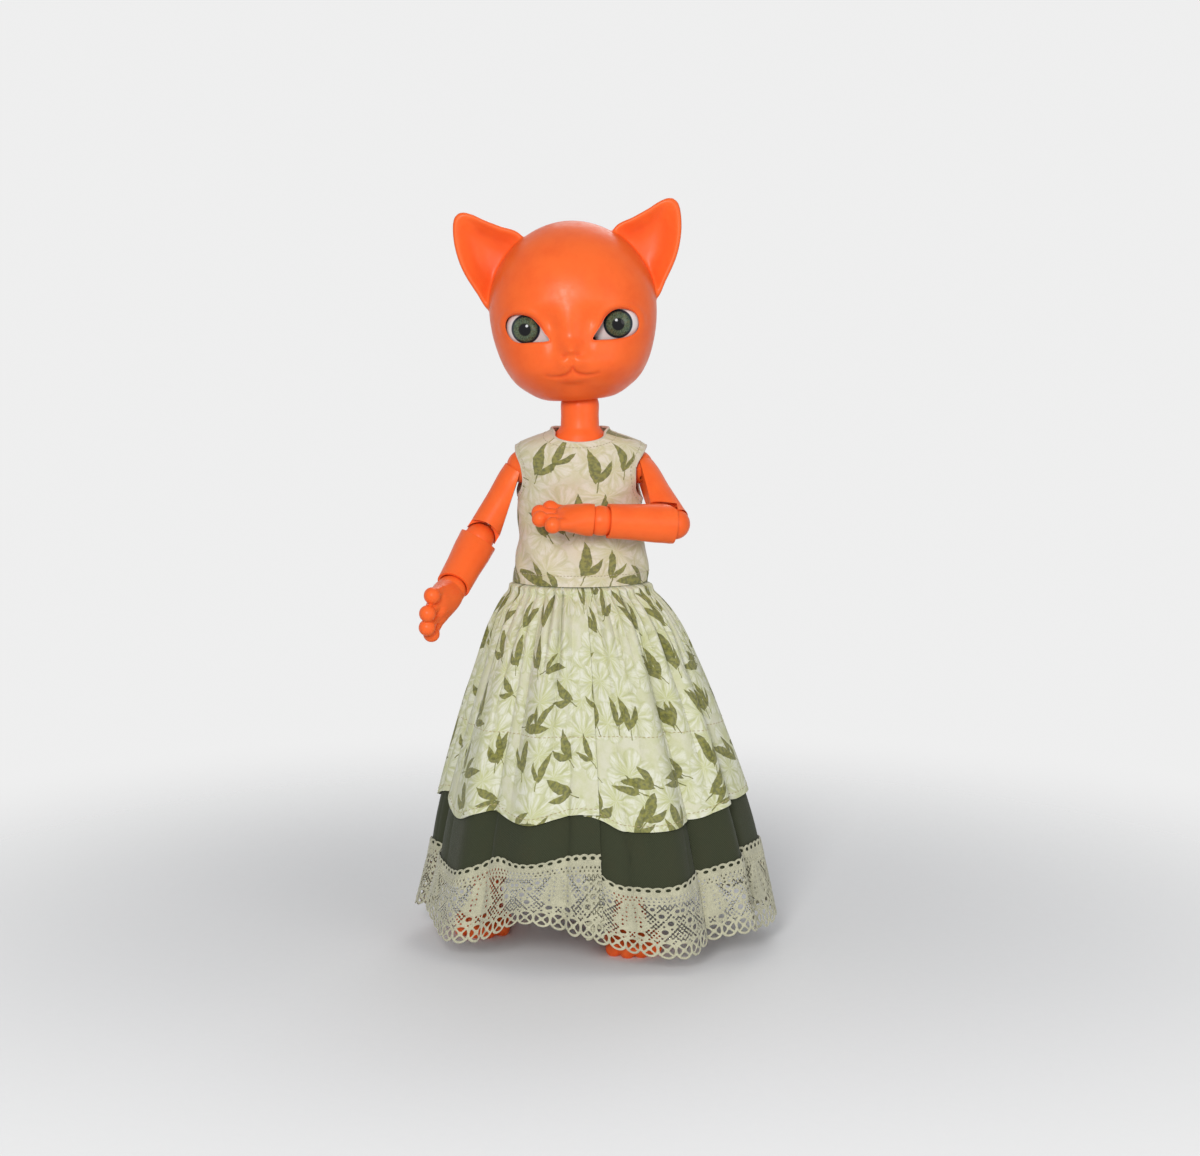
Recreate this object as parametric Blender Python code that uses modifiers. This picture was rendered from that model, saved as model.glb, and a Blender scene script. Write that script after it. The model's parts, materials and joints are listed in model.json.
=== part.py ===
"""A ball jointed cat doll, about 24 cm tall, standing in a sleeveless dress with a layered skirt.

Metres, +Z up, the doll faces -Y and its own left is +X. The origin is on the floor under the
middle of the skirt's hem. Every joint is a ball between two hollow limbs on an elastic cord.
"""

import math

import bmesh
import bpy
from mathutils import Matrix, Vector

# Overall placing: the skirt's hem is centred on the origin, the body stands beside that centre
BODY_X = -0.0055
SIDES = {"left": 1, "right": -1}

# Running gaps between pieces that touch, and the overrun of every cut
GAP = 0.0003
BALL_CLEARANCE = 0.0004
OVERRUN = 0.002
CUT_SIZE = 0.09

# Elastic cord, its bore and the steel hooks on it
CORD_RADIUS = 0.0009
BORE_RADIUS = 0.0014
HOOK_WIRE_RADIUS = 0.0005
HOOK_LOOP_RADIUS = 0.0013
HOOK_LOOP_ANGLE = 290
HOOK_LENGTH = 0.0052

# Legs: lengths between ball centres and the photographed stance in degrees
ANKLE_HEIGHT = 0.0130
THIGH_LENGTH = 0.0430
SHIN_LENGTH = 0.0430
HIP_HALF_SPACING = 0.0115
LEG_OUT = {"left": 3.5, "right": 14.0}
THIGH_FORWARD = {"left": 22.0, "right": -10.0}
RIGHT_SHIN_FORWARD = -12.0
HIP_BALL_RADIUS = 0.0078
KNEE_BALL_RADIUS = 0.0062
ANKLE_BALL_RADIUS = 0.0049
THIGH_RADIUS = 0.0094
SHIN_RADIUS = 0.0074
ANKLE_RADIUS = 0.0056
ANKLE_FACE_SETBACK = 0.0020
HIP_CUT_ANGLES = (-22.0, 4.0, 32.0, 62.0)
HIP_CUT_OUT = 9.0
HIP_CUT_SETBACK = 0.0030
HIP_FACE_CLEARANCE = 0.0012

# Feet, which are paws with four round toes
FOOT_LENGTH = 0.0280
HEEL_LENGTH = 0.0078
FOOT_WIDTH = 0.0150
FOOT_HEIGHT = 0.0092
FOOT_SPLAY = 4.0
FOOT_HOOK_DROP = 62.0
TOE_RADIUS = 0.0027
TOE_RISE = 0.0023
TOE_SPREAD = 0.0066
TOE_LENGTH = 0.0060

# Torso: rises between joint centres, and the flat faces either side of the waist ball
WAIST_RISE = 0.0270
SHOULDER_RISE = 0.0365
NECK_RISE = 0.0565
WAIST_BALL_RADIUS = 0.0088
WAIST_SETBACK = 0.0016
PELVIS_HALF_WIDTH = 0.0205
PELVIS_HALF_DEPTH = 0.0130
PELVIS_DROP = 0.0080
CHEST_HALF_WIDTH = 0.0195
CHEST_HALF_DEPTH = 0.0122
NECK_RADIUS = 0.0063
NECK_DOME_ANGLES = (22, 44, 62)
NECK_LENGTH = 0.0085
NECK_BORE_RADIUS = 0.0029
NECK_CORD_RADIUS = 0.0021
PELVIS_CORD_SPACING = 0.0036
PELVIS_CORD_DROP = 0.0007

# Arms: lengths between ball centres and the photographed pose in degrees
SHOULDER_HALF_SPACING = 0.0185
UPPER_ARM_LENGTH = 0.0280
FOREARM_LENGTH = 0.0245
UPPER_ARM_OUT = {"left": 36.0, "right": 32.0}
UPPER_ARM_FORWARD = {"left": 42.0, "right": 3.0}
FOREARM_OUT = {"left": -94.0, "right": 30.0}
FOREARM_FORWARD = {"left": 12.0, "right": 46.0}
HAND_OUT = {"left": -95.0, "right": 42.0}
HAND_FORWARD = {"left": 4.0, "right": 60.0}
SHOULDER_BALL_RADIUS = 0.0056
ELBOW_BALL_RADIUS = 0.0050
WRIST_BALL_RADIUS = 0.0049
UPPER_ARM_RADIUS = 0.0055
FOREARM_RADIUS = 0.0062
WRIST_FACE_SETBACK = 0.0024
SHOULDER_ANGLE_LIMITS = (8.0, 76.0)
SHOULDER_SETBACK = 0.0005
JOINT_SETBACK = 0.0004
ELBOW_BEND_LIMIT = 114.0
ELBOW_NOTCH = 40.0
LIMB_BULGE_SHARE = 1.02
KNEE_BEND_LIMIT = 84.0
BEND_CUT_COUNT = 3
BEND_CUT_LENGTH = 0.020

# Hands, which are paws with four round toes
PAW_WIDTH_HINT = {"left": Vector((0, 1, 0.25)), "right": Vector((0.2, 0, 1))}
PALM_LENGTH = 0.0140
PALM_HALF_WIDTH = 0.0062
PALM_HALF_THICKNESS = 0.0052
PAW_TOE_REACH = 0.0196
PAW_TOE_SPREAD = 0.0074
PAW_STEM_RADIUS = 0.0020
PAW_TIP_RADIUS = 0.0026

# Head, in its own frame above the neck's ball centre
HEAD_ROLL = -4.0
HEAD_BOTTOM = 0.0025
HEAD_TOP = 0.0603
HEAD_HALF_WIDTH = 0.0273
HEAD_FRONT = 0.0258
HEAD_BACK = 0.0262
HEAD_WALL = 0.0032
HEAD_FLOOR = 0.0095
CROWN_WALL = 0.0100
HEAD_SOCKET_RADIUS = 0.0067
HOOK_HOLE_RADIUS = 0.0026
CAP_FACE_Y = 0.0095
CAP_FACE_TILT = -8.0
MAGNET_RADIUS = 0.0010
MAGNET_THICKNESS = 0.0015
MAGNET_HIGH = 0.0525

# Ears
EAR_HALF_THICKNESS = 0.0034
EAR_TIP_X = 0.0345
EAR_TIP_Z = 0.0651
EAR_Y = 0.0012
EAR_SCOOP_DEPTH = 0.0046
EAR_SCOOP_HALF_WIDTH = 0.0068
EAR_SCOOP_HALF_HEIGHT = 0.0118

# Eyes
EYE_HALF_SPACING = 0.0142
EYE_HEIGHT = 0.0273
EYE_Y = -0.0128
EYEBALL_RADIUS = 0.0074
EYE_OPENING_HALF_WIDTH = 0.0068
EYE_OPENING_HALF_HEIGHT = 0.0043
PUTTY_RING_RADIUS = 0.0052
PUTTY_RADIUS = 0.0014
NECK_HOOK_LOOP_RADIUS = 0.0030
UPPER_BOW_ANGLES = (-20, 250)
LOWER_BOW_ANGLES = (90, -160)
NECK_HOOK_DROP = 0.0060

# Dress
CLOTH = 0.0006
BODICE_HALF_WIDTH = 0.0228
BODICE_HALF_DEPTH = 0.0150
BODICE_TOP_ABOVE_SHOULDER = 0.0112
ARMHOLE_HALF_HEIGHT = 0.0088
ARMHOLE_HALF_DEPTH = 0.0086
ARMHOLE_DROP = 0.0018
ARMHOLE_START = 0.0130
WAIST_SEAM_BELOW_BALL = 0.0018
SKIRT_WAIST_HALF_WIDTH = 0.0236
SKIRT_WAIST_HALF_DEPTH = 0.0176
HEM_HALF_WIDTH = 0.0618
HEM_HALF_DEPTH = 0.0520
HEM_X = -0.0003
HEM_Y = -0.0003
HEM_CLEARANCE = 0.0040
FLARE_SHARE = 0.57
FOLD_COUNT = 17
WAIST_FOLD_SHARE = 0.25
FOLD_DEPTH = 0.0030
PLEAT_INSET = 0.0032
PLEAT_EDGE_ANGLE = 3.0
PLEAT_FULL_ANGLE = 9.0
PLEAT_END_ANGLE = 22.0
BACK_ANGLE = 180
BACK_OPENING_ANGLE = 0.8
LAYER_SPACING = 0.0014
CLOSURE_WIDTH = 0.0050
CLOSURE_THICKNESS = 0.0008
CLOSURE_FIRST_ROW = 1
CLOSURE_LAST_ROW = 7

# Heights of the skirt's edges above the floor, at the doll's side and at its front
OVERSKIRT_HEM = {"left": (0.0520, 0.0455), "right": (0.0480, 0.0472)}
LACE_TOP = {"left": (0.0335, 0.0275), "right": (0.0300, 0.0350)}
LACE_BOTTOM = {"left": (0.0045, 0.0060), "right": (0.0095, 0.0120)}
SCALLOP_DEPTH = 0.0012
SCALLOP_COUNT = 30

# How finely round shapes are faceted
BALL_SEGMENTS = 12
BALL_RING_COUNT = 7
LIMB_SIDES = 10
TOE_SIDES = 6
HEAD_SIDES = 20
TORSO_SIDES = 16
SHARP_ANGLE = 45
WELD_SHARE = 0.01
BODICE_SIDES = 18
CURVE_POINTS = 6
PUTTY_STEPS = 12
SKIRT_COLUMN_COUNT = 34
OVERSKIRT_ROW_COUNT = 4
UNDERSKIRT_ROW_COUNT = 4
LACE_ROW_COUNT = 2

COLOURS = {
    "orange_plastic": ((0.93, 0.14, 0.025, 1.0), 0.38, 0.0),
    "steel": ((0.62, 0.62, 0.62, 1.0), 0.25, 1.0),
    "elastic": ((0.80, 0.79, 0.75, 1.0), 0.80, 0.0),
    "eye_glass": ((0.07, 0.11, 0.06, 1.0), 0.08, 0.0),
    "putty": ((0.78, 0.76, 0.70, 1.0), 0.70, 0.0),
    "printed_cloth": ((0.60, 0.56, 0.42, 1.0), 0.85, 0.0),
    "olive_cloth": ((0.032, 0.038, 0.016, 1.0), 0.85, 0.0),
    "lace_thread": ((0.45, 0.44, 0.29, 1.0), 0.85, 0.0),
}

# Share of a limb's length, then the share of its radius across and front to back
UPPER_ARM_SHARES = ((-0.16, 0.62), (-0.06, 0.92), (0.12, 1.04), (0.50, 0.98), (0.85, 0.96), (1.08, 0.92),
                    (1.20, 0.70))
FOREARM_SHARES = ((-0.16, 0.74), (-0.05, 0.97), (0.18, 1.02), (0.55, 0.94), (0.88, 0.90), (1.04, 0.88))
THIGH_SHARES = ((-0.14, 0.62), (-0.02, 0.97), (0.12, 1.05), (0.40, 1.00), (0.75, 0.84), (0.95, 0.80),
                (1.09, 0.72))
SHIN_SHARES = ((-0.12, 0.78), (-0.02, 0.98), (0.20, 1.02), (0.45, 0.98), (0.75, 0.80), (0.92, 0.76),
               (1.02, 0.74))

# Share of the head's height, then shares of its half width, front and back depths
HEAD_SHARES = ((0.0, 0.33, 0.36, 0.34), (0.05, 0.60, 0.62, 0.52), (0.10, 0.73, 0.80, 0.63),
               (0.18, 0.845, 0.97, 0.79), (0.30, 0.94, 0.99, 0.93), (0.42, 0.99, 0.985, 0.99),
               (0.53, 1.0, 1.0, 1.0), (0.65, 0.96, 0.98, 0.97), (0.77, 0.845, 0.88, 0.86),
               (0.87, 0.68, 0.70, 0.69), (0.95, 0.43, 0.44, 0.43), (1.0, 0.12, 0.12, 0.12))
HEAD_SQUARENESS = 2.25

# Outline of an ear as shares of its tip's place, from its outer root round the tip to its inner root
EAR_OUTLINE_SHARES = ((0.79, 0.525), (0.975, 0.67), (1.065, 0.80), (1.065, 0.94), (1.0, 1.0), (0.88, 0.992),
                      (0.69, 0.938), (0.48, 0.872), (0.46, 0.68), (0.62, 0.55))
EAR_SCOOP_SHARES = (0.885, 0.815)
EAR_SCOOP_TILT = 16.0

# Share of a torso part's height, then shares of its half width and half depth
PELVIS_SHARES = ((0.0, 0.52, 0.62), (0.12, 0.86, 0.90), (0.32, 1.0, 1.0), (0.62, 0.93, 0.90),
                 (0.86, 0.80, 0.80), (1.0, 0.76, 0.76))
CHEST_SHARES = ((0.0, 0.80, 0.92), (0.16, 0.82, 0.98), (0.36, 0.94, 1.04), (0.56, 1.0, 0.98),
                (0.74, 1.02, 0.86), (0.86, 0.88, 0.76), (0.95, 0.60, 0.66), (1.0, 0.40, 0.60))
BODICE_SHARES = ((0.0, 0.98, 1.01), (0.12, 0.96, 0.99), (0.30, 0.90, 0.95), (0.44, 0.87, 0.94),
                 (0.62, 0.93, 0.98), (0.78, 0.99, 0.94), (0.88, 1.0, 0.80), (0.94, 0.86, 0.72),
                 (0.98, 0.62, 0.64), (1.0, 0.45, 0.59))

# Shares of a palm's length, half width and half thickness
PALM_SHARES = ((0.0, 0.80, 0.96), (0.30, 0.92, 1.0), (0.60, 1.08, 0.84), (0.85, 1.16, 0.66),
               (1.0, 0.98, 0.50))
PAW_ROOT_SHARE = 0.66
TOE_RING_ANGLES = (-35, 20, 68)
SOCKET_SHARE = 1.03
BALL_POLE = Vector((0.2, 0.1, 1)).normalized()
PAW_TOE_SHARES = ((0.78, -1.0), (1.0, -0.36), (1.0, 0.36), (0.80, 1.0))

# Shares of a foot's length, width and height
FOOT_SHARES = ((0.0, 0.34, 0.62), (0.07, 0.62, 0.92), (0.28, 0.80, 1.0), (0.52, 0.90, 0.88),
               (0.74, 1.06, 0.66), (0.88, 1.04, 0.52), (0.96, 0.80, 0.40))
FOOT_CENTRE_SHARE = 0.45
ANKLE_STUB_SHARES = ((0.10, 0.98), (0.40, 1.02), (0.62, 1.06))
FOOT_TOE_SHARES = ((0.90, -1.0), (1.0, -0.35), (0.99, 0.34), (0.87, 1.0))
NECK_FLARE_SHARE = 0.30
EAR_RING_SHARES = ((-1.0, 0.86), (-0.55, 1.0), (0.45, 1.0), (1.0, 0.80))


def to_world(x, y, z):
    """A point given from the body's own axis."""
    return Vector((BODY_X + x, y, z))


def direction(side, out, forward):
    """Unit vector that hangs down, leans out to the side and forward by angles in degrees."""
    out_angle = math.radians(out)
    forward_angle = math.radians(forward)
    return Vector((SIDES[side] * math.sin(out_angle) * math.cos(forward_angle),
                   -math.sin(forward_angle),
                   -math.cos(out_angle) * math.cos(forward_angle)))


def joint_places():
    """World places of every ball centre, and the directions of the limbs between them."""
    places = {}
    ways = {}
    right_drop = (-direction("right", LEG_OUT["right"], THIGH_FORWARD["right"]).z * THIGH_LENGTH
                  - direction("right", LEG_OUT["right"], RIGHT_SHIN_FORWARD).z * SHIN_LENGTH)
    hip_z = ANKLE_HEIGHT + right_drop
    left_thigh_drop = -direction("left", LEG_OUT["left"], THIGH_FORWARD["left"]).z * THIGH_LENGTH
    left_shin_drop = (right_drop - left_thigh_drop) / math.cos(math.radians(LEG_OUT["left"]))
    left_shin_forward = -math.degrees(math.acos(min(1.0, left_shin_drop / SHIN_LENGTH)))
    shin_forward = {"left": left_shin_forward, "right": RIGHT_SHIN_FORWARD}
    places["waist"] = to_world(0, 0, hip_z + WAIST_RISE)
    places["neck"] = to_world(0, 0, hip_z + WAIST_RISE + NECK_RISE)
    shoulder_z = hip_z + WAIST_RISE + SHOULDER_RISE
    for side, sign in SIDES.items():
        ways["thigh", side] = direction(side, LEG_OUT[side], THIGH_FORWARD[side])
        ways["shin", side] = direction(side, LEG_OUT[side], shin_forward[side])
        ways["upper_arm", side] = direction(side, UPPER_ARM_OUT[side], UPPER_ARM_FORWARD[side])
        ways["forearm", side] = direction(side, FOREARM_OUT[side], FOREARM_FORWARD[side])
        ways["hand", side] = direction(side, HAND_OUT[side], HAND_FORWARD[side])
        places["hip", side] = to_world(sign * HIP_HALF_SPACING, 0, hip_z)
        places["knee", side] = places["hip", side] + ways["thigh", side] * THIGH_LENGTH
        places["ankle", side] = places["knee", side] + ways["shin", side] * SHIN_LENGTH
        places["shoulder", side] = to_world(sign * SHOULDER_HALF_SPACING, 0, shoulder_z)
        places["elbow", side] = places["shoulder", side] + ways["upper_arm", side] * UPPER_ARM_LENGTH
        places["wrist", side] = places["elbow", side] + ways["forearm", side] * FOREARM_LENGTH
    return places, ways


def get_material(slot):
    """The Principled material of one slot, made once."""
    if slot in bpy.data.materials:
        return bpy.data.materials[slot]
    colour, roughness, metallic = COLOURS[slot]
    material = bpy.data.materials.new(slot)
    material.use_nodes = True
    shader = material.node_tree.nodes["Principled BSDF"]
    shader.inputs["Base Color"].default_value = colour
    shader.inputs["Roughness"].default_value = roughness
    shader.inputs["Metallic"].default_value = metallic
    return material


def get_collection(name):
    """The named collection, linked to the scene once."""
    if name not in bpy.data.collections:
        collection = bpy.data.collections.new(name)
        bpy.context.scene.collection.children.link(collection)
    return bpy.data.collections[name]


def add_object(name, mesh, origin, slot=None):
    """Link a mesh as a part when it has a material slot, or else as a hidden cutter."""
    thing = bpy.data.objects.new(name, mesh)
    thing.location = origin
    if slot is None:
        get_collection("cutters").objects.link(thing)
        thing.hide_render = True
        thing.display_type = "WIRE"
    else:
        get_collection("ball_jointed_doll").objects.link(thing)
        mesh.materials.append(get_material(slot))
        mesh.shade_smooth()
        mesh.set_sharp_from_angle(angle=math.radians(SHARP_ANGLE))
    return thing


def mesh_from(name, build):
    """A closed mesh from a bmesh that the build function fills."""
    mesh = bpy.data.meshes.new(name)
    shape = bmesh.new()
    build(shape)
    bmesh.ops.recalc_face_normals(shape, faces=shape.faces)
    shape.to_mesh(mesh)
    shape.free()
    return mesh


def loft(name, rings, origin, slot=None):
    """A closed solid through rings of world points, capped at both ends."""
    def build(shape):
        rows = [[shape.verts.new(point - origin) for point in ring] for ring in rings]
        for low, high in zip(rows, rows[1:]):
            for index in range(len(low)):
                after = (index + 1) % len(low)
                shape.faces.new((low[index], low[after], high[after], high[index]))
        shape.faces.new(rows[0])
        shape.faces.new(rows[-1])
    return add_object(name, mesh_from(name, build), origin, slot)


def frame_along(axis, width_hint):
    """Two unit vectors square to the axis, the first as near the hint as can be."""
    across = (width_hint - axis * width_hint.dot(axis)).normalized()
    return across, axis.cross(across).normalized()


def oval(centre, across, through, half_width, half_depth, sides):
    """Points of an ellipse about a centre."""
    turns = [2 * math.pi * index / sides for index in range(sides)]
    return [centre + across * (half_width * math.cos(turn)) + through * (half_depth * math.sin(turn))
            for turn in turns]


def turned_limb(name, start, way, length, radius, shares, slot, width_hint=Vector((1, 0, 0)),
                flatness_share=1.0):
    """A limb that swells and tapers along a straight axis."""
    across, through = frame_along(way, width_hint)
    rings = [oval(start + way * (length * along), across, through, radius * width,
                  radius * width * flatness_share, LIMB_SIDES) for along, width in shares]
    return loft(name, rings, start, slot)


def sphere(name, centre, radius, slot=None, axis=Vector((0, 0, 1))):
    """A ball whose poles lie on the given axis."""
    mesh = bpy.data.meshes.new(name)
    shape = bmesh.new()
    bmesh.ops.create_uvsphere(shape, u_segments=BALL_SEGMENTS, v_segments=BALL_RING_COUNT, radius=radius)
    bmesh.ops.rotate(shape, verts=shape.verts, cent=(0, 0, 0),
                     matrix=axis.to_track_quat("Z", "Y").to_matrix())
    shape.to_mesh(mesh)
    shape.free()
    return add_object(name, mesh, centre, slot)


def rod(name, start, end, radius, slot=None, sides=CURVE_POINTS):
    """A round bar between two points."""
    mesh = bpy.data.meshes.new(name)
    shape = bmesh.new()
    way = end - start
    bmesh.ops.create_cone(shape, cap_ends=True, segments=sides, radius1=radius, radius2=radius,
                          depth=way.length)
    bmesh.ops.rotate(shape, verts=shape.verts, cent=(0, 0, 0),
                     matrix=way.to_track_quat("Z", "Y").to_matrix())
    shape.to_mesh(mesh)
    shape.free()
    return add_object(name, mesh, (start + end) / 2, slot)


def box(name, centre, size, slot=None, axes=None):
    """A box of the given size, turned to the given axes."""
    mesh = bpy.data.meshes.new(name)
    shape = bmesh.new()
    bmesh.ops.create_cube(shape, size=1)
    bmesh.ops.scale(shape, verts=shape.verts, vec=size)
    if axes is not None:
        turn = Matrix(axes).transposed()
        bmesh.ops.rotate(shape, verts=shape.verts, cent=(0, 0, 0), matrix=turn)
    bmesh.ops.recalc_face_normals(shape, faces=shape.faces)
    shape.to_mesh(mesh)
    shape.free()
    return add_object(name, mesh, centre, slot)


def half_space(name, point, normal, setback):
    """A cutter that removes all that lies behind a plane near a point."""
    across, through = frame_along(normal, Vector((0.3, 1, 0.2)))
    centre = point + normal * (setback - CUT_SIZE / 2)
    return box(name, centre, (CUT_SIZE, CUT_SIZE, CUT_SIZE), axes=(across, through, normal))


def combine(target, tools, operation="DIFFERENCE", solver="EXACT"):
    """Add one Boolean modifier to the target for each tool."""
    for tool in tools:
        modifier = target.modifiers.new(tool.name, "BOOLEAN")
        modifier.operation = operation
        modifier.solver = solver
        modifier.object = tool
    return target


def wire(name, points, radius, origin, slot, closed=False):
    """A round wire along points, as a closed mesh."""
    curve = bpy.data.curves.new(name, "CURVE")
    curve.dimensions = "3D"
    curve.bevel_depth = radius
    curve.bevel_resolution = 1
    curve.use_fill_caps = True
    spline = curve.splines.new("POLY")
    spline.points.add(len(points) - 1)
    for place, point in zip(spline.points, points):
        place.co = (*(point - origin), 1)
    spline.use_cyclic_u = closed
    bare = bpy.data.objects.new(name + "_curve", curve)
    get_collection("cutters").objects.link(bare)
    graph = bpy.context.evaluated_depsgraph_get()
    mesh = bpy.data.meshes.new_from_object(bare.evaluated_get(graph))
    shape = bmesh.new()
    shape.from_mesh(mesh)
    bmesh.ops.remove_doubles(shape, verts=shape.verts, dist=radius * WELD_SHARE)
    bmesh.ops.recalc_face_normals(shape, faces=shape.faces)
    shape.to_mesh(mesh)
    shape.free()
    bpy.data.objects.remove(bare)
    mesh.materials.clear()
    return add_object(name, mesh, origin, slot)


def arc(centre, across, up, radius, start, end, steps=CURVE_POINTS):
    """Points of an arc between two angles in degrees, across at 0 and up at 90."""
    angles = [math.radians(start + (end - start) * step / steps) for step in range(steps + 1)]
    return [centre + across * (radius * math.cos(angle)) + up * (radius * math.sin(angle))
            for angle in angles]


def capsule(name, start, end, radius, tip_radius, origin):
    """A cutter or a union tool: a toe's stem that ends in a small ball."""
    way = (end - start).normalized()
    across, through = frame_along(way, Vector((0.2, 0.3, 1)))
    rings = [oval(start, across, through, radius, radius, TOE_SIDES),
             oval(end - way * tip_radius, across, through, radius, radius, TOE_SIDES)]
    for angle in TOE_RING_ANGLES:
        turn = math.radians(angle)
        rings.append(oval(end + way * (tip_radius * math.sin(turn)), across, through,
                          tip_radius * math.cos(turn), tip_radius * math.cos(turn), TOE_SIDES))
    return loft(name, rings, origin)


def socket(name, centre, ball_radius):
    """Cutter for the hollow that takes a joint ball."""
    return sphere(name + "_socket", centre, ball_radius * SOCKET_SHARE + GAP)


def bore(name, start, end, radius=BORE_RADIUS):
    """Cutter for a straight cord bore."""
    return rod(name + "_bore", start, end, radius)


def joint_ball(name, centre, radius, ways):
    """A joint ball with a cord bore towards each of the given directions."""
    ball = sphere(name, centre, radius, "orange_plastic", BALL_POLE)
    return combine(ball, [bore(f"{name}_{index}", centre - way * BORE_RADIUS, centre + way * (radius + OVERRUN))
                          for index, way in enumerate(ways)])


def cord_between(name, start, end, start_ball, end_ball):
    """The stretch of elastic inside one limb, from one joint ball to the next."""
    way = (end - start).normalized()
    return rod(name, start + way * (start_ball + BALL_CLEARANCE + GAP),
               end - way * (end_ball + BALL_CLEARANCE + GAP), CORD_RADIUS, "elastic")


def hook_in(name, target, centre, way, ball_radius, flat):
    """A wire hook with its eye in a pocket that is cut into a hand or a foot."""
    across, _ = frame_along(way, flat)
    start = centre + way * (ball_radius + BALL_CLEARANCE + GAP)
    eye = start + way * (HOOK_LENGTH - HOOK_LOOP_RADIUS)
    points = [start] + arc(eye, -way, across, HOOK_LOOP_RADIUS, 0, HOOK_LOOP_ANGLE)
    hook = wire(name, points, HOOK_WIRE_RADIUS, centre, "steel")
    clear = HOOK_WIRE_RADIUS + GAP
    length = HOOK_LENGTH + clear + OVERRUN
    pocket = box(name + "_pocket", start + way * (length / 2 - OVERRUN),
                 (2 * (HOOK_LOOP_RADIUS + clear), 2 * clear, length), axes=(across, way.cross(across), way))
    combine(target, [pocket])
    return hook


def bent_ends(upper, lower, joint, upper_way, lower_way, radius, limit, axis, notch=0.0):
    """Shape the facing ends of two limbs so that they bend one way about a ball, up to a limit."""
    if notch:
        normal = Matrix.Rotation(math.radians(-notch), 3, axis) @ lower_way
        combine(lower, [half_space(lower.name + "_notch", joint, normal, JOINT_SETBACK)])
    combine(upper, [half_space(upper.name + "_face", joint, -upper_way, JOINT_SETBACK)])
    combine(lower, [half_space(lower.name + "_face", joint, lower_way, JOINT_SETBACK)])
    reach = radius * LIMB_BULGE_SHARE + JOINT_SETBACK
    for number in range(BEND_CUT_COUNT):
        angle = limit * (number + 1) / BEND_CUT_COUNT
        way = Matrix.Rotation(math.radians(angle), 3, axis) @ upper_way
        combine(upper, [rod(f"{upper.name}_bend_{number}", joint, joint + way * BEND_CUT_LENGTH, reach,
                            sides=LIMB_SIDES)])


def build_arm(side, places, ways):
    """Shoulder ball, upper arm, elbow ball, forearm, wrist ball, paw, cords and hook of one arm."""
    outwards = Vector((SIDES[side], 0, 0))
    shoulder, elbow, wrist = (places[name, side] for name in ("shoulder", "elbow", "wrist"))
    upper_way, fore_way, hand_way = (ways[name, side] for name in ("upper_arm", "forearm", "hand"))
    joint_ball(f"shoulder_ball_{side}", shoulder, SHOULDER_BALL_RADIUS, (-outwards, upper_way))
    joint_ball(f"elbow_ball_{side}", elbow, ELBOW_BALL_RADIUS, (-upper_way, fore_way))
    joint_ball(f"wrist_ball_{side}", wrist, WRIST_BALL_RADIUS, (-fore_way, hand_way))
    upper = turned_limb(f"upper_arm_{side}", shoulder, upper_way, UPPER_ARM_LENGTH, UPPER_ARM_RADIUS,
                        UPPER_ARM_SHARES, "orange_plastic", outwards)
    fore = turned_limb(f"forearm_{side}", elbow, fore_way, FOREARM_LENGTH, FOREARM_RADIUS,
                       FOREARM_SHARES, "orange_plastic", Vector((0, 0, 1)))
    raise_axis = upper_way.cross(outwards).normalized()
    rest_angle = math.degrees(upper_way.angle(outwards))
    for number, angle in enumerate(SHOULDER_ANGLE_LIMITS):
        normal = Matrix.Rotation(math.radians(angle - rest_angle), 3, raise_axis) @ outwards
        combine(upper, [half_space(f"{upper.name}_shoulder_{number}", shoulder, normal, SHOULDER_SETBACK)])
    bent_ends(upper, fore, elbow, upper_way, fore_way, FOREARM_RADIUS, ELBOW_BEND_LIMIT,
              upper_way.cross(fore_way).normalized(), ELBOW_NOTCH)
    combine(fore, [half_space(fore.name + "_wrist", wrist, -fore_way, WRIST_FACE_SETBACK)])
    combine(upper, [socket(upper.name + "_top", shoulder, SHOULDER_BALL_RADIUS),
                    socket(upper.name + "_end", elbow, ELBOW_BALL_RADIUS),
                    bore(upper.name, shoulder, elbow)])
    combine(fore, [socket(fore.name + "_top", elbow, ELBOW_BALL_RADIUS),
                   socket(fore.name + "_end", wrist, WRIST_BALL_RADIUS), bore(fore.name, elbow, wrist)])
    cord_between(f"upper_arm_cord_{side}", shoulder, elbow, SHOULDER_BALL_RADIUS, ELBOW_BALL_RADIUS)
    cord_between(f"forearm_cord_{side}", elbow, wrist, ELBOW_BALL_RADIUS, WRIST_BALL_RADIUS)
    build_hand(side, wrist, hand_way)


def build_hand(side, wrist, way):
    """A paw: a palm that flattens towards four toes with round tips."""
    across, through = frame_along(way, PAW_WIDTH_HINT[side])
    rings = [oval(wrist + way * (PALM_LENGTH * along), across, through, PALM_HALF_WIDTH * width,
                  PALM_HALF_THICKNESS * thick, LIMB_SIDES) for along, width, thick in PALM_SHARES]
    hand = loft(f"hand_{side}", rings, wrist, "orange_plastic")
    toes = []
    for number, (along, aside) in enumerate(PAW_TOE_SHARES):
        tip = wrist + way * (PAW_TOE_REACH * along) + across * (PAW_TOE_SPREAD * aside)
        root = wrist + way * (PALM_LENGTH * PAW_ROOT_SHARE) + across * (PAW_TOE_SPREAD * aside * PAW_ROOT_SHARE)
        toes.append(capsule(f"{hand.name}_toe_{number}", root, tip, PAW_STEM_RADIUS, PAW_TIP_RADIUS, wrist))
    combine(hand, toes, "UNION")
    combine(hand, [half_space(hand.name + "_wrist", wrist, way, WRIST_FACE_SETBACK),
                   socket(hand.name, wrist, WRIST_BALL_RADIUS)])
    hook_in(f"hand_hook_{side}", hand, wrist, way, WRIST_BALL_RADIUS, across)


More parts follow.
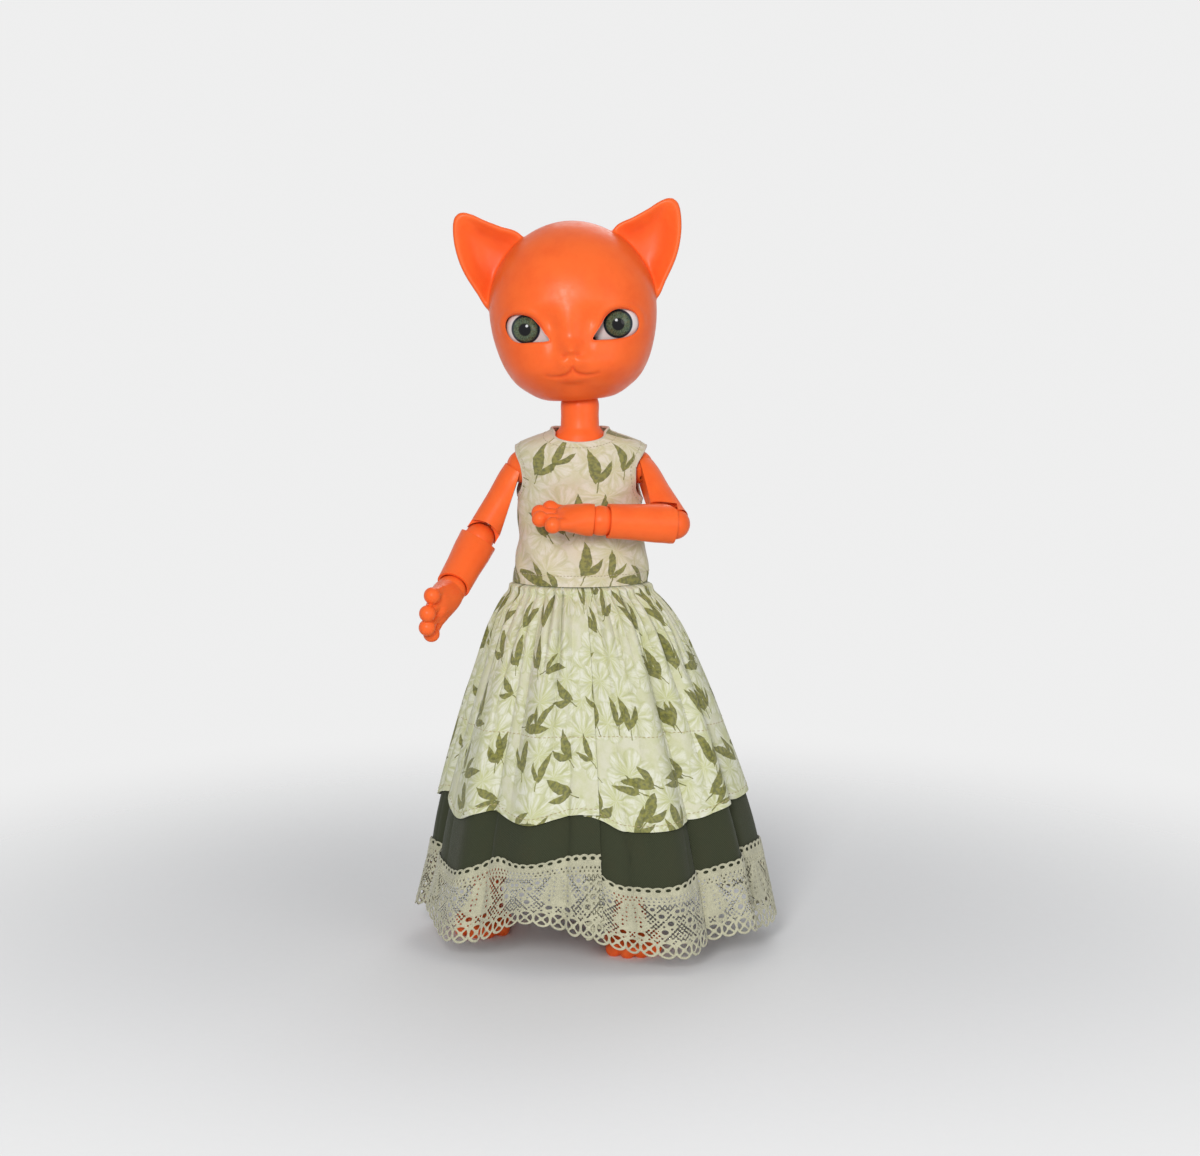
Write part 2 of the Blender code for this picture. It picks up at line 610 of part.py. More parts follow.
def build_leg(side, places, ways):
    """Hip ball, thigh, knee ball, shin, ankle ball, foot, cords and hook of one leg."""
    hip, knee, ankle = (places[name, side] for name in ("hip", "knee", "ankle"))
    thigh_way, shin_way = ways["thigh", side], ways["shin", side]
    knee_axis = thigh_way.cross(Vector((0, 1, 0))).normalized()
    joint_ball(f"hip_ball_{side}", hip, HIP_BALL_RADIUS, ((places["waist"] - hip).normalized(), thigh_way))
    joint_ball(f"knee_ball_{side}", knee, KNEE_BALL_RADIUS, (-thigh_way, shin_way))
    joint_ball(f"ankle_ball_{side}", ankle, ANKLE_BALL_RADIUS, (-shin_way, Vector((0, 0, -1))))
    thigh = turned_limb(f"thigh_{side}", hip, thigh_way, THIGH_LENGTH, THIGH_RADIUS, THIGH_SHARES,
                        "orange_plastic")
    shin = turned_limb(f"shin_{side}", knee, shin_way, SHIN_LENGTH, SHIN_RADIUS, SHIN_SHARES,
                       "orange_plastic")
    combine(thigh, [half_space(thigh.name + "_hip", hip, thigh_way, JOINT_SETBACK)])
    bent_ends(thigh, shin, knee, thigh_way, shin_way, SHIN_RADIUS, KNEE_BEND_LIMIT, knee_axis)
    combine(shin, [half_space(shin.name + "_ankle", ankle, -shin_way, ANKLE_FACE_SETBACK)])
    combine(thigh, [socket(thigh.name + "_top", hip, HIP_BALL_RADIUS),
                    socket(thigh.name + "_end", knee, KNEE_BALL_RADIUS), bore(thigh.name, hip, knee)])
    combine(shin, [socket(shin.name + "_top", knee, KNEE_BALL_RADIUS),
                   socket(shin.name + "_end", ankle, ANKLE_BALL_RADIUS), bore(shin.name, knee, ankle)])
    cord_between(f"thigh_cord_{side}", hip, knee, HIP_BALL_RADIUS, KNEE_BALL_RADIUS)
    cord_between(f"shin_cord_{side}", knee, ankle, KNEE_BALL_RADIUS, ANKLE_BALL_RADIUS)
    build_foot(side, ankle, shin_way)


def build_foot(side, ankle, shin_way):
    """A paw with four round toes, flat under its sole, with a stub for the ankle ball."""
    floor = ankle.z - ANKLE_HEIGHT
    splay = math.radians(FOOT_SPLAY)
    across = Vector((math.cos(splay), math.sin(splay) * SIDES[side], 0))
    forward = Vector((across.y, -across.x, 0))
    heel = Vector((ankle.x, ankle.y, floor)) - forward * HEEL_LENGTH
    up = Vector((0, 0, 1))
    rings = [oval(heel + forward * (FOOT_LENGTH * along) + up * (FOOT_HEIGHT * high * FOOT_CENTRE_SHARE),
                  across, up,
                  FOOT_WIDTH / 2 * width, FOOT_HEIGHT * high * (1 - FOOT_CENTRE_SHARE), LIMB_SIDES)
             for along, width, high in FOOT_SHARES]
    foot = loft(f"foot_{side}", rings, ankle, "orange_plastic")
    stub = turned_limb(foot.name + "_stub", ankle, -up, ANKLE_HEIGHT, ANKLE_RADIUS, ANKLE_STUB_SHARES, None)
    toes = []
    for number, (along, aside) in enumerate(FOOT_TOE_SHARES):
        tip = heel + forward * (FOOT_LENGTH * along) + across * (TOE_SPREAD * aside) + up * TOE_RISE
        root = tip - forward * TOE_LENGTH + up * TOE_RISE
        toes.append(capsule(f"{foot.name}_toe_{number}", root, tip, TOE_RADIUS, TOE_RADIUS, ankle))
    combine(foot, [stub] + toes, "UNION")
    sole = half_space(foot.name + "_sole", Vector((ankle.x, ankle.y, floor)), up, 0)
    combine(foot, [sole, half_space(foot.name + "_ankle", ankle, shin_way, ANKLE_FACE_SETBACK),
                   socket(foot.name, ankle, ANKLE_BALL_RADIUS)])
    hook_in(f"foot_hook_{side}", foot, ankle, forward_down(forward), ANKLE_BALL_RADIUS, across)


def forward_down(forward):
    """Direction of a foot's hook, forwards and down into the thick of the foot."""
    return (forward * math.cos(math.radians(FOOT_HOOK_DROP))
            - Vector((0, 0, 1)) * math.sin(math.radians(FOOT_HOOK_DROP))).normalized()


def torso_rings(bottom, top, half_width, half_depth, shares, sides=TORSO_SIDES):
    """Rings of a torso part between two heights on the body's axis."""
    return [oval(to_world(0, 0, bottom + (top - bottom) * high), Vector((1, 0, 0)), Vector((0, 1, 0)),
                 half_width * width, half_depth * depth, sides) for high, width, depth in shares]


def build_torso(places):
    """Pelvis, waist ball, chest with its neck, and the cords inside them."""
    waist, neck = places["waist"], places["neck"]
    up = Vector((0, 0, 1))
    hip_z = places["hip", "left"].z
    pelvis = loft("pelvis", torso_rings(hip_z - PELVIS_DROP, waist.z + WAIST_SETBACK, PELVIS_HALF_WIDTH,
                                        PELVIS_HALF_DEPTH, PELVIS_SHARES), waist, "orange_plastic")
    combine(pelvis, [half_space("pelvis_waist", waist, -up, WAIST_SETBACK),
                     socket("pelvis", waist, WAIST_BALL_RADIUS)])
    joint_ball("waist_ball", waist, WAIST_BALL_RADIUS, (up, -up))
    cord_points = []
    for side, sign in SIDES.items():
        hip = places["hip", side]
        for number, angle in enumerate(HIP_CUT_ANGLES):
            way = direction(side, HIP_CUT_OUT, angle)
            across, through = frame_along(way, Vector((1, 0, 0)))
            reach = THIGH_RADIUS + HIP_FACE_CLEARANCE
            centre = hip + way * (THIGH_LENGTH / 2 + JOINT_SETBACK - HIP_CUT_SETBACK)
            size = (2 * reach, 2 * reach, THIGH_LENGTH)
            combine(pelvis, [box(f"pelvis_leg_{side}_{number}", centre, size, axes=(across, through, way))],
                    solver="MANIFOLD")
        top = waist + Vector((sign * PELVIS_CORD_SPACING, 0, -WAIST_BALL_RADIUS - PELVIS_CORD_DROP))
        combine(pelvis, [socket(f"pelvis_{side}", hip, HIP_BALL_RADIUS), bore(f"pelvis_{side}", top, hip)])
        way = (hip - top).normalized()
        run = [hip - way * (HIP_BALL_RADIUS + BALL_CLEARANCE + GAP), top]
        cord_points += run if sign > 0 else run[::-1]
    combine(pelvis, [bore("pelvis_top", cord_points[1] + Vector((OVERRUN, 0, 0)),
                          cord_points[2] - Vector((OVERRUN, 0, 0)))])
    wire("pelvis_cord", cord_points, CORD_RADIUS, waist, "elastic")
    build_chest(waist, neck, places, up)


def build_chest(waist, neck, places, up):
    """The chest in one piece with the neck, bored for the cords and open at the shoulders."""
    neck_base = neck.z - NECK_LENGTH
    rings = torso_rings(waist.z - WAIST_SETBACK, neck_base, CHEST_HALF_WIDTH, CHEST_HALF_DEPTH,
                        CHEST_SHARES)
    sides = len(rings[0])
    column = [(neck_base + NECK_RADIUS * NECK_FLARE_SHARE, NECK_RADIUS), (neck.z, NECK_RADIUS)]
    for angle in NECK_DOME_ANGLES:
        turn = math.radians(angle)
        column.append((neck.z + NECK_RADIUS * math.sin(turn), NECK_RADIUS * math.cos(turn)))
    rings += [oval(to_world(0, 0, height), Vector((1, 0, 0)), Vector((0, 1, 0)), radius, radius, sides)
              for height, radius in column]
    chest = loft("chest", rings, waist, "orange_plastic")
    combine(chest, [half_space("chest_waist", waist, up, WAIST_SETBACK),
                    socket("chest", waist, WAIST_BALL_RADIUS),
                    bore("chest", waist, neck + up * (NECK_RADIUS + OVERRUN), NECK_BORE_RADIUS)])
    shoulders = [places["shoulder", side] for side in SIDES]
    for side, sign in SIDES.items():
        outwards = Vector((sign, 0, 0))
        combine(chest, [half_space(f"chest_{side}", places["shoulder", side], -outwards, SHOULDER_SETBACK),
                        socket(f"chest_{side}", places["shoulder", side], SHOULDER_BALL_RADIUS)])
    combine(chest, [bore("chest_arms", shoulders[0], shoulders[1])])
    cord_between("shoulder_cord", shoulders[0], shoulders[1], SHOULDER_BALL_RADIUS, SHOULDER_BALL_RADIUS)
    crossing = to_world(0, 0, shoulders[0].z)
    past = up * (CORD_RADIUS + GAP)
    rod("torso_cord", waist + up * (WAIST_BALL_RADIUS + BALL_CLEARANCE + GAP), crossing - past,
        NECK_CORD_RADIUS, "elastic")
    rod("neck_cord", crossing + past, neck - up * (NECK_HOOK_DROP + GAP), NECK_CORD_RADIUS, "elastic")


def head_ring(shares, inset=0.0):
    """One level ring of the head in its own frame, drawn in by an inset."""
    high, width, front, back = shares
    z = HEAD_BOTTOM + (HEAD_TOP - HEAD_BOTTOM) * high
    points = []
    for index in range(HEAD_SIDES):
        turn = 2 * math.pi * (index + 0.5) / HEAD_SIDES
        across, along = math.cos(turn), math.sin(turn)
        depth = HEAD_BACK * back if along > 0 else HEAD_FRONT * front
        power = 2 / HEAD_SQUARENESS
        across, along = (math.copysign(abs(value) ** power, value) for value in (across, along))
        points.append(Vector((across * (HEAD_HALF_WIDTH * width - inset), along * (depth - inset), z)))
    return points


def head_solid(name, slot=None, inset=0.0):
    """The rounded head, or with an inset the hollow inside it."""
    rings = [head_ring(shares, inset) for shares in HEAD_SHARES if shares[1] * HEAD_HALF_WIDTH > 2 * inset]
    if inset:
        below = [ring for ring in rings if ring[0].z < HEAD_FLOOR]
        rings = below[-1:] + rings[len(below):]
        for ring in rings:
            for point in ring:
                point.z = max(HEAD_FLOOR, min(point.z, HEAD_TOP - CROWN_WALL))
    return loft(name, rings, Vector((0, 0, 0)), slot)


def ear(name, sign):
    """A pointed ear, rounded at its rim and hollowed in front."""
    outline = [Vector((sign * EAR_TIP_X * across, EAR_Y, EAR_TIP_Z * high))
               for across, high in EAR_OUTLINE_SHARES]
    middle = sum(outline, Vector()) / len(outline)
    rings = []
    for depth, shrink in EAR_RING_SHARES:
        rings.append([middle + (point - middle) * shrink + Vector((0, EAR_HALF_THICKNESS * depth, 0))
                      for point in outline])
    return loft(name, rings, Vector((0, 0, 0)))


def ear_scoop(name, sign):
    """Cutter for the hollow in the front of an ear."""
    centre = Vector((sign * EAR_TIP_X * EAR_SCOOP_SHARES[0], EAR_Y - EAR_HALF_THICKNESS,
                     EAR_TIP_Z * EAR_SCOOP_SHARES[1]))
    scoop = sphere(name, centre, 1)
    shape = bmesh.new()
    shape.from_mesh(scoop.data)
    bmesh.ops.scale(shape, verts=shape.verts,
                    vec=(EAR_SCOOP_HALF_WIDTH, EAR_SCOOP_DEPTH, EAR_SCOOP_HALF_HEIGHT))
    bmesh.ops.rotate(shape, verts=shape.verts, cent=(0, 0, 0),
                     matrix=Matrix.Rotation(math.radians(sign * EAR_SCOOP_TILT), 3, "Y"))
    shape.to_mesh(scoop.data)
    shape.free()
    return scoop


def eye_opening(name, centre):
    """Cutter for the almond shaped opening in front of an eye."""
    front = Vector((centre.x, -HEAD_FRONT - OVERRUN, centre.z))
    across, up = Vector((1, 0, 0)), Vector((0, 0, 1))
    rings = [oval(place, across, up, EYE_OPENING_HALF_WIDTH, EYE_OPENING_HALF_HEIGHT, LIMB_SIDES)
             for place in (front, Vector(centre))]
    return loft(name, rings, Vector((0, 0, 0)))


def build_head(neck):
    """Face shell with ears, head cap, eyes in putty, magnets and the neck's hook."""
    axis = bpy.data.objects.new("head_axis", None)
    get_collection("ball_jointed_doll").objects.link(axis)
    axis.location = neck
    axis.rotation_euler = (0, math.radians(HEAD_ROLL), 0)
    before = set(bpy.data.objects)
    zero = Vector((0, 0, 0))
    up = Vector((0, 0, 1))
    face = head_solid("face_shell", "orange_plastic")
    cap = head_solid("head_cap", "orange_plastic")
    hollow = head_solid("head_hollow", None, HEAD_WALL)
    combine(face, [ear(f"ear_{side}", sign) for side, sign in SIDES.items()], "UNION")
    combine(face, [ear_scoop(f"ear_scoop_{side}", sign) for side, sign in SIDES.items()])
    cap_normal = Matrix.Rotation(math.radians(CAP_FACE_TILT), 3, "X") @ Vector((0, 1, 0))
    cap_point = Vector((0, CAP_FACE_Y, EYE_HEIGHT))
    socket_cut = sphere("head_socket", zero, HEAD_SOCKET_RADIUS)
    hook_hole = rod("hook_hole", zero, up * (HEAD_FLOOR + OVERRUN), HOOK_HOLE_RADIUS)
    combine(face, [hollow, socket_cut, hook_hole, half_space("cap_side", cap_point, -cap_normal, 0)])
    combine(cap, [hollow, socket_cut, half_space("face_side", cap_point, cap_normal, GAP)])
    for side, sign in SIDES.items():
        eye = Vector((sign * EYE_HALF_SPACING, EYE_Y, EYE_HEIGHT))
        sphere(f"eyeball_{side}", eye, EYEBALL_RADIUS, "eye_glass", Vector((0, 1, 0)))
        eye_well = sphere(f"eye_well_{side}", eye, EYEBALL_RADIUS + GAP + BALL_CLEARANCE / 2, None,
                          Vector((0, 1, 0)))
        combine(face, [eye_well, eye_opening(f"eye_opening_{side}", eye)])
        reach = EYEBALL_RADIUS + GAP + PUTTY_RADIUS
        ring = eye + Vector((0, math.sqrt(reach ** 2 - PUTTY_RING_RADIUS ** 2), 0))
        wire(f"eye_putty_{side}",
             arc(ring, Vector((1, 0, 0)), up, PUTTY_RING_RADIUS, 0, 360, PUTTY_STEPS)[:-1],
             PUTTY_RADIUS, eye, "putty", closed=True)
    build_magnets(face, cap, cap_point, cap_normal)
    build_neck_hook()
    for thing in set(bpy.data.objects) - before:
        thing.parent = axis


def build_magnets(face, cap, cap_point, cap_normal):
    """A magnet in the face shell's rim and one that faces it in the cap."""
    seat = Vector((0, cap_point.y - (MAGNET_HIGH - cap_point.z) * cap_normal.z / cap_normal.y, MAGNET_HIGH))
    for name, owner, way, first in (("head_magnet", face, -cap_normal, GAP),
                                    ("cap_magnet", cap, cap_normal, 2 * GAP)):
        rod(name, seat + way * first, seat + way * (first + MAGNET_THICKNESS), MAGNET_RADIUS, "steel")
        combine(owner, [rod(name + "_pocket", seat - way * OVERRUN,
                            seat + way * (first + MAGNET_THICKNESS + GAP),
                            MAGNET_RADIUS + GAP)])


def build_neck_hook():
    """The S hook whose upper bow rests over the hole in the head's floor."""
    across, up = Vector((1, 0, 0)), Vector((0, 0, 1))
    upper = up * (HEAD_FLOOR + NECK_HOOK_LOOP_RADIUS + HOOK_WIRE_RADIUS + 2 * GAP)
    lower = -up * (NECK_HOOK_DROP - HOOK_LOOP_RADIUS - HOOK_WIRE_RADIUS)
    points = arc(upper, across, up, NECK_HOOK_LOOP_RADIUS, *UPPER_BOW_ANGLES)
    points.append(up * (HEAD_FLOOR - HOOK_LOOP_RADIUS))
    points += arc(lower, across, up, HOOK_LOOP_RADIUS, *LOWER_BOW_ANGLES)
    wire("neck_hook", points, HOOK_WIRE_RADIUS, Vector((0, 0, 0)), "steel")


def cloth_tube(name, rows, slot, closed=True, thickness=CLOTH):
    """A thin cloth through rows of points, thickened inwards."""
    mesh = bpy.data.meshes.new(name)
    shape = bmesh.new()
    grid = [[shape.verts.new(point) for point in row] for row in rows]
    for low, high in zip(grid, grid[1:]):
        for index in range(len(low) if closed else len(low) - 1):
            after = (index + 1) % len(low)
            shape.faces.new((low[index], low[after], high[after], high[index]))
    shape.to_mesh(mesh)
    shape.free()
    cloth = add_object(name, mesh, Vector((0, 0, 0)), slot)
    solid = cloth.modifiers.new("thickness", "SOLIDIFY")
    solid.thickness = thickness
    solid.offset = -1
    return cloth


def build_bodice(waist, shoulder_z):
    """The sleeveless bodice with its armholes, and the snaps of its back opening."""
    seam = waist.z - WAIST_SEAM_BELOW_BALL + GAP
    top = shoulder_z + BODICE_TOP_ABOVE_SHOULDER
    rows = torso_rings(seam, top, BODICE_HALF_WIDTH, BODICE_HALF_DEPTH, BODICE_SHARES, BODICE_SIDES)
    bodice = cloth_tube("bodice", rows, "printed_cloth")
    for side, sign in SIDES.items():
        centre = to_world(sign * ARMHOLE_START, 0, shoulder_z - ARMHOLE_DROP)
        rings = [oval(centre + Vector((sign * reach, 0, 0)), Vector((0, 1, 0)), Vector((0, 0, 1)),
                      ARMHOLE_HALF_DEPTH, ARMHOLE_HALF_HEIGHT, LIMB_SIDES) for reach in (0, BODICE_HALF_WIDTH)]
        combine(bodice, [loft(f"armhole_{side}", rings, centre)])
    strip = []
    for high, _, depth_share in BODICE_SHARES[CLOSURE_FIRST_ROW:CLOSURE_LAST_ROW]:
        depth = BODICE_HALF_DEPTH * depth_share + GAP + CLOSURE_THICKNESS
        level = seam + (top - seam) * high
        strip.append([to_world(CLOSURE_WIDTH / 2, depth, level), to_world(-CLOSURE_WIDTH / 2, depth, level)])
    cloth_tube("back_closure", strip, "printed_cloth", closed=False, thickness=CLOSURE_THICKNESS)


def wave(angle, count):
    """A ripple between nought and one that repeats count times round."""
    return (1 - math.cos(math.radians(angle) * count)) / 2


def skirt_point(angle, height, inset, seam_z, pleat):
    """A point of the gathered skirt, angle in degrees from the front towards the doll's left."""
    drop = max(0.0, (seam_z - height) / (seam_z - HEM_CLEARANCE))
    flare = drop ** FLARE_SHARE
    turn = math.radians(angle)
    deepening = WAIST_FOLD_SHARE + (1 - WAIST_FOLD_SHARE) * drop
    tuck = inset + FOLD_DEPTH * deepening * wave(angle, FOLD_COUNT)
    if pleat:
        left = (PLEAT_END_ANGLE - abs(angle)) / (PLEAT_END_ANGLE - PLEAT_FULL_ANGLE)
        tuck += PLEAT_INSET * wave(max(0.0, min(1.0, left)) * BACK_ANGLE, 1)
    half_width = SKIRT_WAIST_HALF_WIDTH + (HEM_HALF_WIDTH - SKIRT_WAIST_HALF_WIDTH) * flare - tuck
    half_depth = SKIRT_WAIST_HALF_DEPTH + (HEM_HALF_DEPTH - SKIRT_WAIST_HALF_DEPTH) * flare - tuck
    return Vector((BODY_X * (1 - flare) + HEM_X * flare + half_width * math.sin(turn),
                   HEM_Y * flare - half_depth * math.cos(turn), height))


def skirt_angles():
    """Angles of a half skirt's columns, in degrees from the front round to the back opening."""
    end = BACK_ANGLE - BACK_OPENING_ANGLE
    return [-PLEAT_EDGE_ANGLE + (end + PLEAT_EDGE_ANGLE) * column / SKIRT_COLUMN_COUNT
            for column in range(SKIRT_COLUMN_COUNT + 1)]


def edge_height(heights, angle):
    """Height of a skirt edge that runs from its place at the side to its place in front."""
    at_side, at_front = heights
    return at_side + (at_front - at_side) * max(0.0, math.cos(math.radians(angle)))


def build_skirt(waist):
    """Overskirt, underskirt and lace, each in two halves that meet at the front pleat and the back."""
    seam = waist.z - WAIST_SEAM_BELOW_BALL
    for side, sign in SIDES.items():
        pleat = side == "left"
        layers = (("overskirt", "printed_cloth", 0.0, None, OVERSKIRT_HEM, OVERSKIRT_ROW_COUNT),
                  ("underskirt", "olive_cloth", LAYER_SPACING, None, LACE_TOP, UNDERSKIRT_ROW_COUNT),
                  ("lace", "lace_thread", LAYER_SPACING, LACE_TOP, LACE_BOTTOM, LACE_ROW_COUNT))
        for name, slot, inset, top_edge, bottom_edge, row_count in layers:
            rows = []
            for row in range(row_count + 1):
                points = []
                for angle in skirt_angles():
                    high = seam if top_edge is None else edge_height(top_edge[side], angle) - GAP
                    low = edge_height(bottom_edge[side], angle)
                    if name == "lace":
                        low += SCALLOP_DEPTH * wave(angle, SCALLOP_COUNT)
                    height = high + (low - high) * row / row_count
                    points.append(skirt_point(sign * angle, height, inset, seam, pleat))
                rows.append(points if side == "left" else points[::-1])
            cloth_tube(f"{name}_{side}", rows[::-1], slot, closed=False)


def main():
    for thing in list(bpy.data.objects):
        bpy.data.objects.remove(thing)
    places, ways = joint_places()
    build_torso(places)
    build_head(places["neck"])
    for side in SIDES:
        build_arm(side, places, ways)
        build_leg(side, places, ways)
    build_bodice(places["waist"], places["shoulder", "left"].z)
    build_skirt(places["waist"])


main()
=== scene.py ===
"""Ball jointed cat doll in a layered dress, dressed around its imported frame."""
import json
import math
import random

import bmesh
import bpy
import numpy as np
from bpy.props import FloatProperty, FloatVectorProperty, IntProperty, PointerProperty
from mathutils import Matrix, Vector

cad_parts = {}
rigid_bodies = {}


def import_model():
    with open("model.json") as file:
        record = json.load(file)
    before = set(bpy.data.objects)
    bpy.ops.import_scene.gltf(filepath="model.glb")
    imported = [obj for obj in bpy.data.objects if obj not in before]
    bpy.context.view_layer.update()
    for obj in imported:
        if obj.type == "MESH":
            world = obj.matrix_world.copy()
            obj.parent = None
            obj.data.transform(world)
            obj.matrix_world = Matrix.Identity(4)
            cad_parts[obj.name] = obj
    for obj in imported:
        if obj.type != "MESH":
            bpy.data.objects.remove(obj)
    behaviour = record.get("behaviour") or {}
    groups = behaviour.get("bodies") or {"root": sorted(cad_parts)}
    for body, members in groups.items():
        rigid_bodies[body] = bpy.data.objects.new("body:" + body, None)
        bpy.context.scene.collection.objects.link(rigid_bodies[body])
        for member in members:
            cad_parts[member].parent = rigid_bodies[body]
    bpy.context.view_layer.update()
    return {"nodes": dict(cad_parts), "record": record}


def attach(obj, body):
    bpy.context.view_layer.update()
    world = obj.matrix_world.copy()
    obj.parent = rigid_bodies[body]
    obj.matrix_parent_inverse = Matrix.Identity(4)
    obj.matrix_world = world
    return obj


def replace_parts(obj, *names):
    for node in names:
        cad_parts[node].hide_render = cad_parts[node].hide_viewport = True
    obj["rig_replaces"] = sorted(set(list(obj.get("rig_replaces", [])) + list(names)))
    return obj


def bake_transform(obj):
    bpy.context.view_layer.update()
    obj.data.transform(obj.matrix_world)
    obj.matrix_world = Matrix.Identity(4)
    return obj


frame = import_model()

bl_info = {
    "name": "Ball Jointed Cat Doll",
    "version": (1, 0, 0),
    "blender": (4, 5, 0),
    "location": "View3D > Sidebar > Cat Doll",
    "description": "Builds a ball jointed cat doll with a printed dress, underskirt and lace",
    "category": "Add Mesh",
}

JOINTS = {joint["name"]: joint for joint in frame["record"]["behaviour"]["joints"]}
MM = 0.001
SIDES = {"left": 1, "right": -1}
UP = Vector((0, 0, 1))
ACROSS = Vector((1, 0, 0))
DEPTH = Vector((0, 1, 0))


def joint_place(name):
    """World place of a joint's centre."""
    return Vector(JOINTS[name]["pos_m"])


# Body: the doll's own axis, and radii of its balls
BODY_X = -0.0055
WAIST = joint_place("waist_turn")
NECK = joint_place("head_turn")
SEAM_Z = WAIST.z - 0.0018
BALL_GAP = 0.0003
BALL_RADII = {"waist": 0.0088, "shoulder": 0.0056, "elbow": 0.0050, "wrist": 0.0049, "hip": 0.0078,
              "knee": 0.0062, "ankle": 0.0049}
BORE_RADIUS = 0.0014
NECK_RADIUS = 0.0063
NECK_LENGTH = 0.0085
ARM_RADIUS = 0.0055
FOREARM_RADIUS = 0.0062
SHOULDER_SETBACK = 0.0005
SHOULDER_LIMITS = (8.0, 76.0)
ELBOW_LIMITS = {"left": 114.0, "right": 84.0}
ELBOW_NOTCHES = {"left": 40.0, "right": 33.0}
WRIST_SETBACK = 0.0024
THIGH_RADIUS = 0.0094
SHIN_RADIUS = 0.0074
KNEE_LIMIT = 84.0
ANKLE_SETBACK = 0.0020
END_GAP = 0.0004
SOCKET_SHARE = 1.03
SWEEP_STEPS = 6
SWEEP_LENGTH = 0.020
SWEEP_SHARE = 1.02
NECK_BORE_RADIUS = 0.0029
HOOK_HOLE_RADIUS = 0.0026
BORE_OVERSHOOT = 0.002
CUTTER_SIZE = 0.09
FINE_SHARP_ANGLE = 50

# Head, in its own frame above the neck's ball centre
HEAD_ROLL = -4.0
HEAD_BOTTOM = 0.0025
HEAD_TOP = 0.0603
HEAD_HALF_WIDTH = 0.0273
HEAD_FRONT = 0.0258
HEAD_BACK = 0.0262
HEAD_SQUARENESS = 2.25
HEAD_WALL = 0.0032
HEAD_FLOOR = 0.0095
HEAD_SOCKET_RADIUS = 0.0067
CAP_FACE_Y = 0.0095
CAP_FACE_TILT = -8.0
EYE_HALF_SPACING = 0.0142
EYE_HEIGHT = 0.0273
EYE_Y = -0.0128
EYEBALL_RADIUS = 0.0074
FACE_X = -0.0012
LEAST_RADIUS = 0.0004
SKULL_ROWS = 150
SKULL_COLUMNS = 160

# Share of the head's height, then shares of its half width, front and back depths
HEAD_SHARES = (
    (0.0, 0.33, 0.36, 0.34), (0.05, 0.60, 0.62, 0.52), (0.10, 0.73, 0.80, 0.63), (0.18, 0.845, 0.97, 0.79),
    (0.30, 0.94, 0.99, 0.93), (0.42, 0.99, 0.985, 0.99), (0.53, 1.0, 1.0, 1.0), (0.65, 0.96, 0.98, 0.97),
    (0.77, 0.845, 0.88, 0.86), (0.87, 0.68, 0.70, 0.69), (0.95, 0.43, 0.44, 0.43), (1.0, 0.0, 0.0, 0.0),
)

# Ear outline in millimetres of the head's frame, outer root round the tip to the inner root inside the skull
EAR_OUTLINE = (
    (27.0, 33.0), (31.0, 39.2), (34.6, 46.0), (36.5, 52.3), (37.1, 58.5), (36.4, 63.3), (34.0, 65.2),
    (30.6, 64.4), (26.9, 62.4), (21.8, 60.0), (15.6, 57.2), (12.0, 50.0), (15.0, 41.0), (20.5, 34.5),
)
EAR_MIDDLE = (24.3, 50.0)
# Share of the way from an ear's middle to its outline, and the depth there in millimetres
EAR_PROFILE = (
    (0.0, 2.6), (0.30, 2.4), (0.52, 1.6), (0.70, 0.1), (0.83, -1.2), (0.91, -1.85), (0.965, -1.9),
    (1.0, -1.4), (1.012, -0.6), (1.0, 0.2), (0.95, 1.0), (0.82, 2.3), (0.58, 3.8), (0.30, 4.5), (0.0, 4.7),
)
EAR_LEAST_SHARE = 0.004

# Eye openings in millimetres of the head's frame, round from the outer corner over the upper lid
EYE_OUTLINES = {
    "right": ((-21.8, 27.6), (-21.2, 30.3), (-19.4, 31.7), (-16.9, 31.9), (-13.6, 31.0), (-11.3, 28.7),
              (-9.4, 25.7), (-8.1, 23.1), (-12.9, 22.8), (-17.5, 22.8), (-20.3, 24.2)),
    "left": ((20.9, 27.0), (19.9, 29.7), (17.1, 31.3), (13.8, 31.5), (10.8, 29.8), (8.4, 26.3), (5.9, 22.7),
             (9.0, 22.2), (13.2, 22.1), (17.8, 22.6), (20.4, 24.3)),
}
IRIS_PLACES = {"right": (-15.5, 27.0), "left": (14.3, 26.7)}
IRIS_RADIUS = 4.65
# Edges of the rings of an eye, from and to, in millimetres from the middle of its pupil
PUPIL_EDGE = (1.80, 2.10)
WARM_EDGE = (2.2, 2.9)
DARK_RING_EDGE = (3.55, 4.25)
IRIS_EDGE = (IRIS_RADIUS - 0.12, IRIS_RADIUS + 0.16)
GLOSS_EDGE = (4.4, 4.8)
CORNEA_HEIGHT = 0.00035
EYE_FORWARD = 0.0005
EYE_STRETCH = 0.32
EYE_FRONT_ANGLE = 1.5
WHITE_FULLNESS = 0.62
EYE_HOLE_FRONT = -0.034

